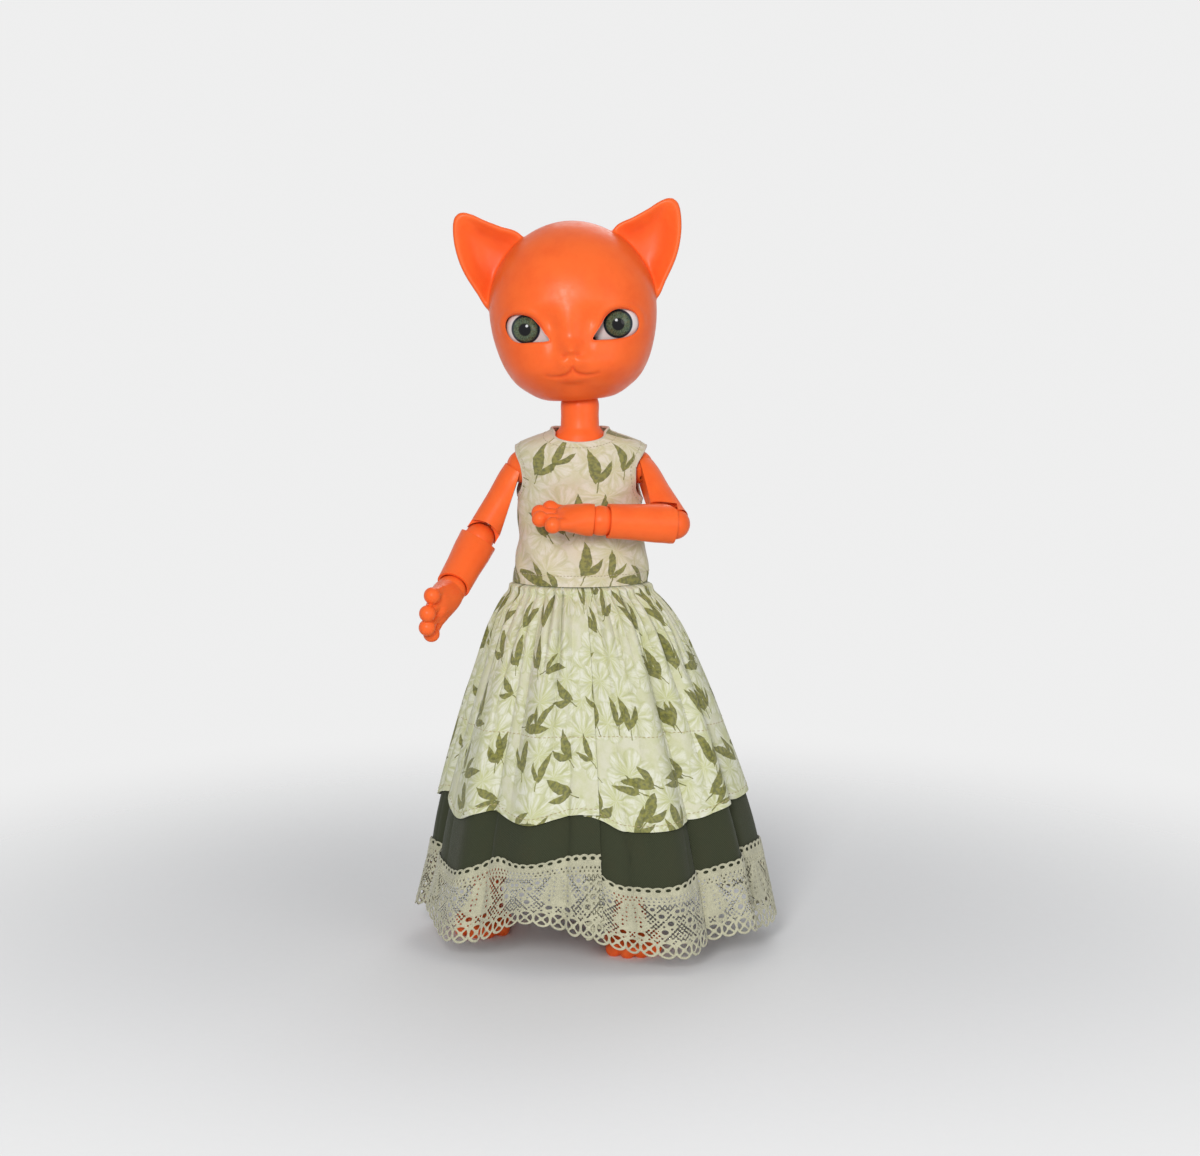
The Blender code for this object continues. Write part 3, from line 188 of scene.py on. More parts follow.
# Swellings and hollows of the face: x and z, spreads across and up, and height, in millimetres
FACE_FORMS = (
    (0.0, 27.0, 3.6, 6.5, 1.1), (0.0, 20.4, 3.0, 2.6, 1.9), (0.0, 19.6, 1.5, 1.2, 0.7),
    (0.0, 16.2, 8.2, 4.2, 1.1), (-2.7, 15.9, 2.1, 1.7, 0.75), (2.7, 15.9, 2.1, 1.7, 0.75),
    (0.0, 15.6, 0.7, 1.6, -0.45), (-2.3, 18.0, 1.2, 0.8, -0.40), (2.3, 18.0, 1.2, 0.8, -0.40),
    (0.0, 10.4, 3.6, 1.6, 0.6), (0.0, 7.9, 4.6, 1.8, -0.25), (0.0, 4.8, 4.6, 2.4, 0.7),
    (-5.6, 22.6, 2.3, 4.6, -0.75), (5.6, 22.6, 2.3, 4.6, -0.75), (-6.8, 29.0, 2.6, 3.4, -0.9),
    (6.8, 29.0, 2.6, 3.4, -0.9), (-13.6, 27.2, 7.6, 5.2, -0.9), (13.6, 27.2, 7.6, 5.2, -0.9),
    (-12.0, 34.6, 7.0, 3.4, 0.45), (12.0, 34.6, 7.0, 3.4, 0.45), (-13.0, 15.0, 6.0, 4.5, 0.45),
    (13.0, 15.0, 6.0, 4.5, 0.45),
)
# The mouth's crease, one half, from its middle to its corner
MOUTH_LINE = ((0.0, 14.2), (0.9, 12.9), (2.3, 12.0), (4.3, 11.5), (6.8, 11.6), (8.2, 12.0))
MOUTH_DEPTH = 0.50
MOUTH_WIDTH = 0.68
# Strength and spread of the painted shade along the mouth's groove
MOUTH_PAINTED_SHADE = (0.42, 0.55)
NOSTRILS = ((-2.3, 18.0), (2.3, 18.0))
# Lid ridge's place and spread beyond the eye's edge, and its height at the lower lid and more at the upper
LID_RIDGE = (1.4, 1.15)
LID_HEIGHTS = (0.10, 0.36)
LID_GROOVE = (0.22, 0.35)
# Painted shade along the eye's edge: its strength at the lower lid, and more at the upper
LID_PAINTED_SHADE = (0.20, 0.40)
EAR_SHADE = 0.16
# Front of the face that gets finer cells: nearest depth, middle, half width, lowest and highest place
FACE_REGIONS = ((-0.010, 0.0, 0.025, 0.002, 0.038), (-0.018, FACE_X, 0.011, 0.008, 0.023))


class DollSizes(bpy.types.PropertyGroup):
    """Sizes of the doll's finish that can be changed."""

    head_grain: FloatProperty(name="Head grain", description="Size of the head's mesh cells", default=0.00042,
                              min=0.0002, unit="LENGTH")
    paw_grain: FloatProperty(name="Paw grain", description="Size of the mesh cells of hands and feet",
                             default=0.00032, min=0.0002, unit="LENGTH")
    gather_depth: FloatProperty(name="Gather depth", description="Depth of the small gathers under the waist",
                                default=0.0013, unit="LENGTH")
    fold_depth: FloatProperty(name="Fold depth", description="Depth of the skirt's main folds at the hem",
                              default=0.0033, unit="LENGTH")
    stitch_pitch: FloatProperty(name="Stitch pitch", description="Distance between two stitches",
                                default=0.0013, min=0.0004, unit="LENGTH")
    stitch_thread: FloatProperty(name="Stitch thread", description="Radius of the sewing thread",
                                 default=0.00013, unit="LENGTH")
    lace_thread: FloatProperty(name="Lace thread", description="Half the thickness of the lace's threads",
                               default=0.00026, unit="LENGTH")
    lace_height: FloatProperty(name="Lace height", description="Height of the lace trim", default=0.0240,
                               unit="LENGTH")
    lace_repeat: FloatProperty(name="Lace repeat", description="Length of one repeat of the lace",
                               default=0.0290, unit="LENGTH")
    hem_flat: FloatProperty(name="Skirt width", description="Flat width of one skirt half", default=0.178,
                            unit="LENGTH")
    limb_sides: IntProperty(name="Limb sides", description="Facets round an arm or leg", default=48, min=12)


class DollColours(bpy.types.PropertyGroup):
    """Colours of the doll and its dress that can be changed."""

    vinyl: FloatVectorProperty(name="Vinyl", description="Orange of the doll's plastic", subtype="COLOR",
                               size=4, default=(0.955, 0.150, 0.028, 1.0))
    # Deeper red that paints shade into the face's creases and ear hollows
    vinyl_painted_shade: FloatVectorProperty(name="Vinyl in creases", description="Deeper red in hollows and seams",
                                    subtype="COLOR", size=4, default=(0.56, 0.035, 0.010, 1.0))
    iris: FloatVectorProperty(name="Iris", description="Grey green of the eyes", subtype="COLOR", size=4,
                              default=(0.058, 0.086, 0.055, 1.0))
    cloth: FloatVectorProperty(name="Dress ground", description="Pale ground of the printed cloth",
                               subtype="COLOR", size=4, default=(0.66, 0.65, 0.50, 1.0))
    blossom: FloatVectorProperty(name="Blossoms", description="Pale green of the printed blossoms",
                                 subtype="COLOR", size=4, default=(0.52, 0.54, 0.24, 1.0))
    leaf: FloatVectorProperty(name="Leaves", description="Olive of the printed leaves", subtype="COLOR",
                              size=4, default=(0.105, 0.110, 0.022, 1.0))
    twill: FloatVectorProperty(name="Underskirt", description="Dark olive of the underskirt",
                               subtype="COLOR", size=4, default=(0.020, 0.024, 0.009, 1.0))
    lace: FloatVectorProperty(name="Lace", description="Ecru of the lace", subtype="COLOR", size=4,
                              default=(0.52, 0.50, 0.35, 1.0))
    floor: FloatVectorProperty(name="Floor", description="Pale floor and backdrop", subtype="COLOR", size=4,
                               default=(0.88, 0.88, 0.88, 1.0))


def sizes():
    """The sizes that the panel shows."""
    return bpy.context.scene.cat_doll_sizes


def colours():
    """The colours that the panel shows."""
    return bpy.context.scene.cat_doll_colours


# Geometry helpers

def eased(table, at):
    """Values of a table's columns at places along its first column, on a smooth curve."""
    table = np.array(table, float)
    known, values = table[:, 0], table[:, 1:]
    step = np.diff(known)
    slope = np.diff(values, axis=0) / step[:, None]
    lean = np.empty_like(values)
    lean[1:-1] = (slope[:-1] * step[1:, None] + slope[1:] * step[:-1, None]) / (step[1:] + step[:-1])[:, None]
    lean[0], lean[-1] = slope[0], slope[-1]
    at = np.clip(np.asarray(at, float), known[0], known[-1])
    index = np.clip(np.searchsorted(known, at) - 1, 0, len(step) - 1)
    share = ((at - known[index]) / step[index])[..., None]
    reach = step[index][..., None]
    start = (1 + 2 * share) * (1 - share) ** 2 * values[index] + share * (1 - share) ** 2 * reach * lean[index]
    return (start + share ** 2 * (3 - 2 * share) * values[index + 1]
            + share ** 2 * (share - 1) * reach * lean[index + 1])


def closed_curve(points, count):
    """A smooth closed line through points, at an even spacing of its parameter."""
    points = np.array(points, float)
    again = np.vstack([points[-3:], points, points[:3]])
    knots = np.arange(-3, len(points) + 3)
    at = np.arange(count) / count * len(points)
    return eased(np.column_stack([knots, again]), at)


def smooth_step(value, low, high):
    """Ease from nought at low to one at high."""
    share = np.clip((np.asarray(value, float) - low) / (high - low), 0, 1)
    return share * share * (3 - 2 * share)


def link(name, mesh):
    """An object for a mesh, in the scene."""
    thing = bpy.data.objects.new(name, mesh)
    bpy.context.scene.collection.objects.link(thing)
    return thing


def release(name, shape):
    """An object that takes over a bmesh."""
    mesh = bpy.data.meshes.new(name)
    shape.to_mesh(mesh)
    shape.free()
    return link(name, mesh)


def surface(name, grid, around=False, caps=False, flat=None):
    """A mesh through rows of points, with an optional flat map in millimetres."""
    rows, columns = grid.shape[:2]
    ids = np.arange(rows * columns).reshape(rows, columns)
    left = ids if around else ids[:, :-1]
    right = np.roll(ids, -1, axis=1) if around else ids[:, 1:]
    faces = np.stack([left[:-1], right[:-1], right[1:], left[1:]], -1).reshape(-1, 4).tolist()
    if caps:
        faces += [ids[0, ::-1].tolist(), ids[-1].tolist()]
    mesh = bpy.data.meshes.new(name)
    mesh.from_pydata(grid.reshape(-1, 3).tolist(), [], faces)
    if flat is not None:
        corners = np.empty(len(mesh.loops), int)
        mesh.loops.foreach_get("vertex_index", corners)
        layer = mesh.uv_layers.new(name="flat")
        layer.data.foreach_set("uv", flat.reshape(-1, 2)[corners].ravel())
    return link(name, mesh)


def vertex_array(mesh):
    """A mesh's vertex places as an array."""
    places = np.empty(len(mesh.vertices) * 3)
    mesh.vertices.foreach_get("co", places)
    return places.reshape(-1, 3)


def closed_surface(name, grid):
    """A closed body through rings of points, with its faces outwards."""
    thing = surface(name, grid, around=True, caps=True)
    outwards(thing.data)
    return thing


def add_point_values(mesh, name, values):
    """Store one number for each vertex, for a material to read."""
    layer = mesh.attributes.new(name, "FLOAT", "POINT")
    layer.data.foreach_set("value", values.astype(np.float32))


def bake(thing):
    """Replace an object's mesh by its evaluated mesh."""
    graph = bpy.context.evaluated_depsgraph_get()
    mesh = bpy.data.meshes.new_from_object(thing.evaluated_get(graph))
    thing.modifiers.clear()
    thing.data = mesh
    return thing


def carve(target, cutters):
    """Cut closed shapes out of a closed target."""
    for cutter in cutters:
        change = target.modifiers.new(cutter.name, "BOOLEAN")
        change.object = cutter
        change.operation = "DIFFERENCE"
        change.solver = "MANIFOLD"
    bake(target)
    for cutter in cutters:
        bpy.data.objects.remove(cutter)


def frame_along(way, hint):
    """Two unit vectors square to a way, the first as near the hint as it can be."""
    across = (hint - way * hint.dot(way)).normalized()
    return across, way.cross(across)


def ball(name, centre, radius, detail=32):
    """A round closed ball."""
    shape = bmesh.new()
    bmesh.ops.create_uvsphere(shape, u_segments=2 * detail, v_segments=detail, radius=radius)
    bmesh.ops.translate(shape, verts=shape.verts, vec=centre)
    return release(name, shape)


def rod(name, start, end, radius, end_radius=None, sides=32):
    """A round bar or cone between two points."""
    shape = bmesh.new()
    way = end - start
    bmesh.ops.create_cone(shape, cap_ends=True, segments=sides, radius1=radius,
                          radius2=radius if end_radius is None else end_radius, depth=way.length)
    turn = way.to_track_quat("Z", "Y").to_matrix().to_4x4()
    bmesh.ops.transform(shape, verts=shape.verts, matrix=Matrix.Translation((start + end) / 2) @ turn)
    return release(name, shape)


def half_space(name, point, normal, setback):
    """A cutter that removes all that lies behind a plane near a point."""
    across, through = frame_along(normal, Vector((0.3, 1, 0.2)))
    shape = bmesh.new()
    bmesh.ops.create_cube(shape, size=CUTTER_SIZE)
    turn = Matrix((across, through, normal)).transposed().to_4x4()
    centre = point + normal * (setback - CUTTER_SIZE / 2)
    bmesh.ops.transform(shape, verts=shape.verts, matrix=Matrix.Translation(centre) @ turn)
    return release(name, shape)


def loft(name, stations, sides):
    """A closed body through ovals given as centre, two directions and two radii."""
    turns = np.arange(sides) * 2 * np.pi / sides
    rings = [np.array(centre) + np.outer(np.cos(turns) * wide, across)
             + np.outer(np.sin(turns) * deep, through) for centre, across, through, wide, deep in stations]
    return closed_surface(name, np.array(rings))


def outwards(mesh):
    """Turn all faces of a closed mesh outwards."""
    shape = bmesh.new()
    shape.from_mesh(mesh)
    bmesh.ops.recalc_face_normals(shape, faces=shape.faces)
    shape.to_mesh(mesh)
    shape.free()


def limb(name, start, way, length, radius, table, steps=40):
    """A limb that swells and tapers along a straight axis."""
    across, through = frame_along(way, ACROSS if abs(way.x) < 0.9 else UP)
    along = np.linspace(table[0][0], table[-1][0], steps)
    widths = eased(table, along)[:, 0] * radius
    stations = [(start + way * (length * share), across, through, width, width)
                for share, width in zip(along, widths)]
    return loft(name, stations, sizes().limb_sides)


def remeshed(name, parts, cell, rounds):
    """Parts grown together into one even skin, then smoothed."""
    whole = parts[0]
    with bpy.context.temp_override(active_object=whole, selected_editable_objects=parts, object=whole):
        bpy.ops.object.join()
    whole.name = name
    grow = whole.modifiers.new("grow", "REMESH")
    grow.mode = "VOXEL"
    grow.voxel_size = cell
    soften = whole.modifiers.new("soften", "SMOOTH")
    soften.factor = 0.5
    soften.iterations = rounds
    return bake(whole)


def shade(thing, angle):
    """Smooth shading that keeps edges sharper than an angle."""
    thing.data.shade_smooth()
    thing.data.set_sharp_from_angle(angle=math.radians(angle))


def finish_piece(thing, body, material, replaced=(), angle=38):
    """Shade a piece, give it its finish, and hand it to its body."""
    shade(thing, angle)
    thing.data.materials.clear()
    thing.data.materials.append(material)
    if body:
        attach(thing, body)
    if replaced:
        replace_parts(thing, *replaced)
    return thing


def finish_vinyl(thing, name, angle=38):
    """Finish a plastic piece that takes the place of the node, and rides the body, of one name."""
    finish_piece(thing, name, vinyl_finish(f"vinyl_{name}"), [name], angle)


# Finishes

class NodeSheet:
    """A material's node tree with short calls for its nodes."""

    def __init__(self, name):
        self.material = bpy.data.materials.new(name)
        self.material.use_nodes = True
        self.tree = self.material.node_tree
        self.shader = self.tree.nodes["Principled BSDF"]
        self.count = 0

    def node(self, kind, settings=None, **inputs):
        """Add a node, set its own values, and plug or set its inputs by name or number."""
        made = self.tree.nodes.new("ShaderNode" + kind)
        self.count += 1
        made.location = (-220 * (self.count % 9) - 250, 260 - 190 * (self.count // 9))
        for key, value in (settings or {}).items():
            setattr(made, key, value)
        for key, value in inputs.items():
            self.put(made, key.replace("_", " "), value)
        return made

    def put(self, made, key, value):
        """Plug an output into an input, or set the input's value."""
        socket = made.inputs[int(key[1:])] if key[0] == "i" and key[1:].isdigit() else made.inputs[key]
        if isinstance(value, bpy.types.NodeSocket):
            self.tree.links.new(value, socket)
        else:
            socket.default_value = value

    def set(self, **inputs):
        """Plug or set inputs of the shader."""
        for key, value in inputs.items():
            self.put(self.shader, key.replace("_", " "), value)

    def math(self, operation, first, second=0.0, third=0.0):
        """A sum, product or other function of numbers."""
        made = self.node("Math", {"operation": operation})
        for index, value in enumerate((first, second, third)):
            self.put(made, f"i{index}", value)
        return made.outputs[0]

    def vector(self, operation, first, second=(0, 0, 0), scale=None):
        """A function of places or directions."""
        made = self.node("VectorMath", {"operation": operation})
        self.put(made, "i0", first)
        if scale is None:
            self.put(made, "i1", second)
        else:
            self.put(made, "Scale", scale)
        return made.outputs["Value" if operation == "LENGTH" else "Vector"]

    def mix(self, share, first, second):
        """A share of the second colour laid over the first."""
        made = self.node("Mix", {"data_type": "RGBA"})
        for key, value in (("i0", share), ("i6", first), ("i7", second)):
            self.put(made, key, value)
        return made.outputs[2]

    def noise(self, place, scale, detail=3.0, roughness=0.5, distortion=0.0):
        """Uneven tone between nought and one."""
        made = self.node("TexNoise", Vector=place, Scale=scale, Detail=detail, Roughness=roughness,
                         Distortion=distortion)
        return made.outputs["Fac"]

    def ramp(self, value, low, high, start=0.0, end=1.0):
        """A soft step of a value from low to high."""
        made = self.node("MapRange", {"interpolation_type": "SMOOTHSTEP"})
        for key, number in zip(("Value", "From Min", "From Max", "To Min", "To Max"),
                               (value, low, high, start, end)):
            self.put(made, key, number)
        return made.outputs[0]

    def bump(self, height, strength, distance):
        """A normal for fine relief."""
        return self.node("Bump", Strength=strength, Distance=distance, Height=height).outputs[0]

    def place(self):
        """Places on the object in metres."""
        return self.node("TexCoord").outputs["Object"]

    def flat(self):
        """Places on the flat cloth in millimetres."""
        return self.node("UVMap", {"uv_map": "flat"}).outputs[0]

    def attribute(self, name):
        """Numbers stored on the mesh."""
        return self.node("Attribute", {"attribute_name": name}).outputs["Fac"]

    def parts(self, place):
        """The three numbers of a place."""
        return self.node("SeparateXYZ", Vector=place).outputs

    def cells(self, place, size, unevenness):
        """Way from the middle of the nearest cell of the cloth's repeat, and three chances for that cell."""
        cell = self.node("TexVoronoi", {"voronoi_dimensions": "2D"}, Vector=place, Scale=1 / size,
                         Randomness=unevenness)
        chances = self.node("SeparateColor", Color=cell.outputs["Color"]).outputs
        return self.vector("SUBTRACT", place, cell.outputs["Position"]), chances

    def turned(self, place, angle):
        """A place on the flat cloth, turned by an angle."""
        return self.node("VectorRotate", {"rotation_type": "Z_AXIS"}, Vector=place, Angle=angle).outputs[0]


def tinted(colour, *shares):
    """A colour times one share, or times a share for each of its channels."""
    shares = shares if len(shares) == 3 else shares * 3
    return tuple(value * share for value, share in zip(colour[:3], shares)) + (1.0,)


def vinyl_finish(name, crease=False):
    """Satin orange plastic with a faint mottle, fine grain, and painted shade in deeper red where the crease values
    lie.
    """
    sheet = NodeSheet(name)
    place = sheet.place()
    mottle = sheet.noise(place, 130.0, 4.0, 0.6)
    colour = tuple(colours().vinyl)
    base = sheet.mix(sheet.ramp(mottle, 0.35, 0.85, 0.0, 0.7), colour, tinted(colour, 0.90, 0.74, 0.70))
    if crease:
        # Painted shade: deeper red where the crease values lie, in the face's creases and ear hollows
        base = sheet.mix(sheet.attribute("crease"), base, tuple(colours().vinyl_painted_shade))
    grain = sheet.noise(place, 2600.0, 2.0)
    dust = sheet.noise(place, 420.0, 5.0, 0.7)
    sheet.set(Base_Color=base, Roughness=sheet.ramp(dust, 0.3, 0.75, 0.30, 0.46),
              Normal=sheet.bump(grain, 0.10, 0.00012))
    sheet.set(Subsurface_Weight=0.12, Subsurface_Scale=0.0025, Subsurface_Radius=(1.0, 0.35, 0.12))
    sheet.set(Coat_Weight=0.02, Coat_Roughness=0.25, Specular_IOR_Level=0.17)
    return sheet.material


def plain_finish(name, colour, roughness, metallic=0.0, grain=900.0, sheen=0.0):
    """A simple finish with mottled colour, uneven gloss and fine grain."""
    sheet = NodeSheet(name)
    place = sheet.place()
    mottle = sheet.noise(place, grain / 4, 4.0, 0.6)
    sheet.set(Base_Color=sheet.mix(sheet.ramp(mottle, 0.3, 0.75), colour, tinted(colour, 0.72)),
              Roughness=sheet.ramp(mottle, 0.3, 0.75, roughness * 0.85, min(1.0, roughness * 1.15)),
              Normal=sheet.bump(sheet.noise(place, grain, 3.0), 0.25, 0.0001))
    sheet.set(Metallic=metallic, Sheen_Weight=sheen)
    return sheet.material


def elastic_finish():
    """Braided white elastic cord."""
    sheet = NodeSheet("braided_elastic")
    strands = sheet.node("TexVoronoi", {"feature": "SMOOTH_F1"}, Vector=sheet.place(),
                         Scale=2200.0).outputs["Distance"]
    # Painted shade: darker in the gaps between the braid's strands
    base = sheet.mix(sheet.ramp(strands, 0.1, 0.6), (0.80, 0.79, 0.74, 1), (0.45, 0.43, 0.38, 1))
    sheet.set(Base_Color=base, Roughness=0.82, Normal=sheet.bump(strands, 0.6, 0.0002), Sheen_Weight=0.2)
    return sheet.material


def eye_finish(side):
    """A glass eye: white, dark ring, fibrous grey green iris and pupil under a clear coat."""
    sheet = NodeSheet(f"glass_eye_{side}")
    reach = sheet.attribute("reach")
    turn = sheet.attribute("turn")
    spokes = sheet.node("CombineXYZ", X=sheet.math("COSINE", turn), Y=sheet.math("SINE", turn),
                        Z=sheet.math("MULTIPLY", reach, 0.10)).outputs[0]
    fibres = sheet.noise(spokes, 16.0, 4.0, 0.7, 0.4)
    flecks = sheet.noise(spokes, 5.0, 2.0)
    iris = tuple(colours().iris)
    colour = sheet.mix(sheet.ramp(fibres, 0.36, 0.66), tinted(iris, 0.35), tinted(iris, 2.3, 2.2, 2.0))
    fleck_share = sheet.math("MULTIPLY", sheet.ramp(flecks, 0.4, 0.7), 0.35)
    colour = sheet.mix(fleck_share, colour, (0.16, 0.13, 0.05, 1))
    frayed = sheet.math("ADD", reach, sheet.math("MULTIPLY", fibres, 0.9))
    colour = sheet.mix(sheet.ramp(frayed, *WARM_EDGE, 0.8, 0.0), colour, (0.030, 0.030, 0.012, 1))
    colour = sheet.mix(sheet.ramp(reach, *DARK_RING_EDGE), colour, (0.012, 0.020, 0.030, 1))
    colour = sheet.mix(sheet.ramp(reach, *IRIS_EDGE), colour, (0.76, 0.68, 0.66, 1))
    colour = sheet.mix(sheet.ramp(reach, *PUPIL_EDGE, 1.0, 0.0), colour, (0.002, 0.002, 0.003, 1))
    sheet.set(Base_Color=colour, Roughness=sheet.ramp(reach, *GLOSS_EDGE, 0.12, 0.22))
    sheet.set(Coat_Weight=0.35, Coat_Roughness=0.03, Coat_IOR=1.4, Specular_IOR_Level=0.15)
    return sheet.material


# Head

def head_matrix():
    """From the head's own frame to the world."""
    return Matrix.Translation(NECK) @ Matrix.Rotation(math.radians(HEAD_ROLL), 4, "Y")


def head_grid(rows, columns, inset=0.0):
    """Points of the bare rounded head, drawn in by an inset."""
    table = [(math.acos(1 - 2 * row[0]),) + row[1:] for row in HEAD_SHARES]
    angle = np.linspace(0.0, math.pi, rows)
    shares = eased(table, angle)
    turns = (np.arange(columns) + 0.5) * 2 * np.pi / columns
    power = 2 / HEAD_SQUARENESS
    across = np.sign(np.cos(turns)) * np.abs(np.cos(turns)) ** power
    along = np.sign(np.sin(turns)) * np.abs(np.sin(turns)) ** power
    grid = np.empty((rows, columns, 3))
    depth = np.where(along > 0, HEAD_BACK, HEAD_FRONT)
    share = np.where(along > 0, shares[:, 2:3], shares[:, 1:2])
    grid[..., 0] = across * np.maximum(HEAD_HALF_WIDTH * shares[:, 0:1] - inset, LEAST_RADIUS)
    grid[..., 1] = along * np.maximum(depth * share - inset, LEAST_RADIUS)
    grid[..., 2] = (HEAD_BOTTOM + (HEAD_TOP - HEAD_BOTTOM) * (1 - np.cos(angle)) / 2)[:, None]
    return grid


def ear_body(name, sign):
    """An ear as a curved shell with a rounded rim, hollow in front."""
    outline = closed_curve(EAR_OUTLINE, 120)
    if sign < 0:
        outline = outline[::-1]
    middle = np.array(EAR_MIDDLE)
    knots = np.column_stack([np.arange(len(EAR_PROFILE)), EAR_PROFILE])
    profile = eased(knots, np.linspace(0, len(EAR_PROFILE) - 1, 60))
    grid = np.empty((len(profile), len(outline), 3))
    for row, (share, depth) in enumerate(profile):
        flat = middle + (outline - middle) * max(share, EAR_LEAST_SHARE)
        grid[row] = np.column_stack([sign * flat[:, 0], np.full(len(flat), depth), flat[:, 1]])
    return closed_surface(name, grid * MM)


def line_distance(x, z, points):
    """Distance from places to a line of points, all in millimetres."""
    best = np.full(len(x), 1e9)
    for (x0, z0), (x1, z1) in zip(points, points[1:]):
        run_x, run_z = x1 - x0, z1 - z0
        share = np.clip(((x - x0) * run_x + (z - z0) * run_z) / (run_x ** 2 + run_z ** 2), 0, 1)
        best = np.minimum(best, np.hypot(x - x0 - share * run_x, z - z0 - share * run_z))
    return best


def eye_line(side):
    """The outline of an eye opening as a smooth closed line, in millimetres."""
    return closed_curve(EYE_OUTLINES[side], 72)


def refine(mesh, inside):
    """Divide the faces whose middles satisfy a test once."""
    shape = bmesh.new()
    shape.from_mesh(mesh)
    faces = [face for face in shape.faces if inside(face.calc_center_median())]
    edges = list({edge for face in faces for edge in face.edges})
    bmesh.ops.subdivide_edges(shape, edges=edges, cuts=1, use_grid_fill=True)
    shape.to_mesh(mesh)
    shape.free()


def sculpt_face(head):
    """Model nose, muzzle, mouth, lids and brows, and store painted shade for their creases and the ear hollows."""
    mesh = head.data
    for nearest, middle, half_width, low, high in FACE_REGIONS:
        refine(mesh, lambda p: p.y < nearest and abs(p.x - middle) < half_width and low < p.z < high)
    places = vertex_array(mesh)
    normals = np.empty(len(mesh.vertices) * 3)
    mesh.vertices.foreach_get("normal", normals)
    normals = normals.reshape(-1, 3)
    front = smooth_step(-places[:, 1], 0.006, 0.014)
    x, z = places[:, 0] / MM, places[:, 2] / MM
    face_x = x - FACE_X / MM
    raise_by = np.zeros(len(x))
    for middle_x, middle_z, wide, high, height in FACE_FORMS:
        raise_by += height * np.exp(-((face_x - middle_x) / wide) ** 2 - ((z - middle_z) / high) ** 2)
    mouth = line_distance(np.abs(face_x), z, MOUTH_LINE)
    fade = 1 - 0.6 * smooth_step(np.abs(face_x), 3.0, 8.0)
    raise_by -= MOUTH_DEPTH * fade * np.exp(-(mouth / MOUTH_WIDTH) ** 2)
    # Painted shade along the mouth's groove, fainter towards its corners
    strength, spread = MOUTH_PAINTED_SHADE
    crease = strength * fade * np.exp(-(mouth / spread) ** 2)
    for side in SIDES:
        line = eye_line(side)
        away = line_distance(x, z, np.vstack([line, line[:1]]))
        upper = smooth_step(z, 24.0, 29.0)
        low, more = LID_HEIGHTS
        raise_by += front * (low + more * upper) * np.exp(-((away - LID_RIDGE[0]) / LID_RIDGE[1]) ** 2)
        raise_by -= LID_GROOVE[0] * np.exp(-(away / LID_GROOVE[1]) ** 2)
        # Painted shade along the edge of each eye opening, darker at the upper lid
        low, more = LID_PAINTED_SHADE
        crease = np.maximum(crease, (low + more * upper) * np.exp(-(away / 0.40) ** 2))
    # Painted shade in the nostrils
    for middle_x, middle_z in NOSTRILS:
        dark = 0.30 * np.exp(-((face_x - middle_x) / 0.9) ** 2 - ((z - middle_z) / 0.6) ** 2)
        crease = np.maximum(crease, dark)
    places += normals * (raise_by * front * MM)[:, None]
    mesh.vertices.foreach_set("co", places.ravel())
    # Painted shade in the forward facing ear hollows, stored with the creases' painted shade as the crease values
    ear_hollow_shade = (smooth_step(np.abs(x), 15, 24) * smooth_step(z, 36, 44)
                  * smooth_step(places[:, 1] / MM, -0.6, 1.4) * smooth_step(-normals[:, 1], 0.2, 0.8))
    add_point_values(mesh, "crease", np.clip(crease * front + EAR_SHADE * ear_hollow_shade, 0, 1))
    mesh.update()


def prism(name, line, near, far):
    """A closed prism along the depth from a line of x and z places in millimetres."""
    grid = np.array([np.column_stack([line[:, 0] * MM, np.full(len(line), depth), line[:, 1] * MM])
                     for depth in (near, far)])
    return closed_surface(name, grid)


def head_hollow():
    """The space inside the head, flat at its floor and under its crown."""
    grid = head_grid(90, 96, HEAD_WALL)
    grid[..., 2] = np.clip(grid[..., 2], HEAD_FLOOR, HEAD_TOP - HEAD_WALL)
    middle = (grid[:, 0, 2] > HEAD_FLOOR) & (grid[:, 0, 2] < HEAD_TOP - HEAD_WALL)
    keep = grid[middle]
    floor, crown = keep[0].copy(), keep[-1].copy()
    floor[:, 2], crown[:, 2] = HEAD_FLOOR, HEAD_TOP - HEAD_WALL
    return closed_surface("head_hollow", np.concatenate([[floor], keep, [crown]]))


def eye_centre(side):
    """Middle of an eyeball in the head's frame."""
    return Vector((SIDES[side] * EYE_HALF_SPACING, EYE_Y, EYE_HEIGHT))


def make_head():
    """Face shell with ears and the removable cap."""
    skull = closed_surface("skull", head_grid(SKULL_ROWS, SKULL_COLUMNS))
    parts = [skull] + [ear_body(f"ear_{side}", sign) for side, sign in SIDES.items()]
    head = remeshed("doll_face", parts, sizes().head_grain, 9)
    sculpt_face(head)
    cap_normal = Matrix.Rotation(math.radians(CAP_FACE_TILT), 3, "X") @ DEPTH
    cap_point = Vector((0, CAP_FACE_Y, EYE_HEIGHT))
    cap = closed_surface("doll_head_cap", head_grid(SKULL_ROWS, SKULL_COLUMNS))
    zero = Vector((0, 0, 0))
    carve(cap, [head_hollow(), ball("neck_cup", zero, HEAD_SOCKET_RADIUS),
                half_space("cap_front", cap_point, cap_normal, BALL_GAP)])
    cutters = [head_hollow(), ball("neck_cup", zero, HEAD_SOCKET_RADIUS),
               rod("hook_hole", zero, UP * (HEAD_FLOOR + BORE_OVERSHOOT), HOOK_HOLE_RADIUS),
               half_space("cap_side", cap_point, -cap_normal, 0)]
    for side in SIDES:
        cutters.append(ball(f"eye_well_{side}", eye_centre(side), EYEBALL_RADIUS + 2 * BALL_GAP))
        cutters.append(prism(f"eye_hole_{side}", eye_line(side), EYE_HOLE_FRONT, EYE_Y))
    carve(head, cutters)
    for thing in (head, cap):
        thing.data.transform(head_matrix())
    finish_piece(head, "head", vinyl_finish("face_vinyl", crease=True), ["face_shell"],
                 FINE_SHARP_ANGLE)
    finish_piece(cap, "head_cap", vinyl_finish("cap_vinyl"), ["head_cap"])


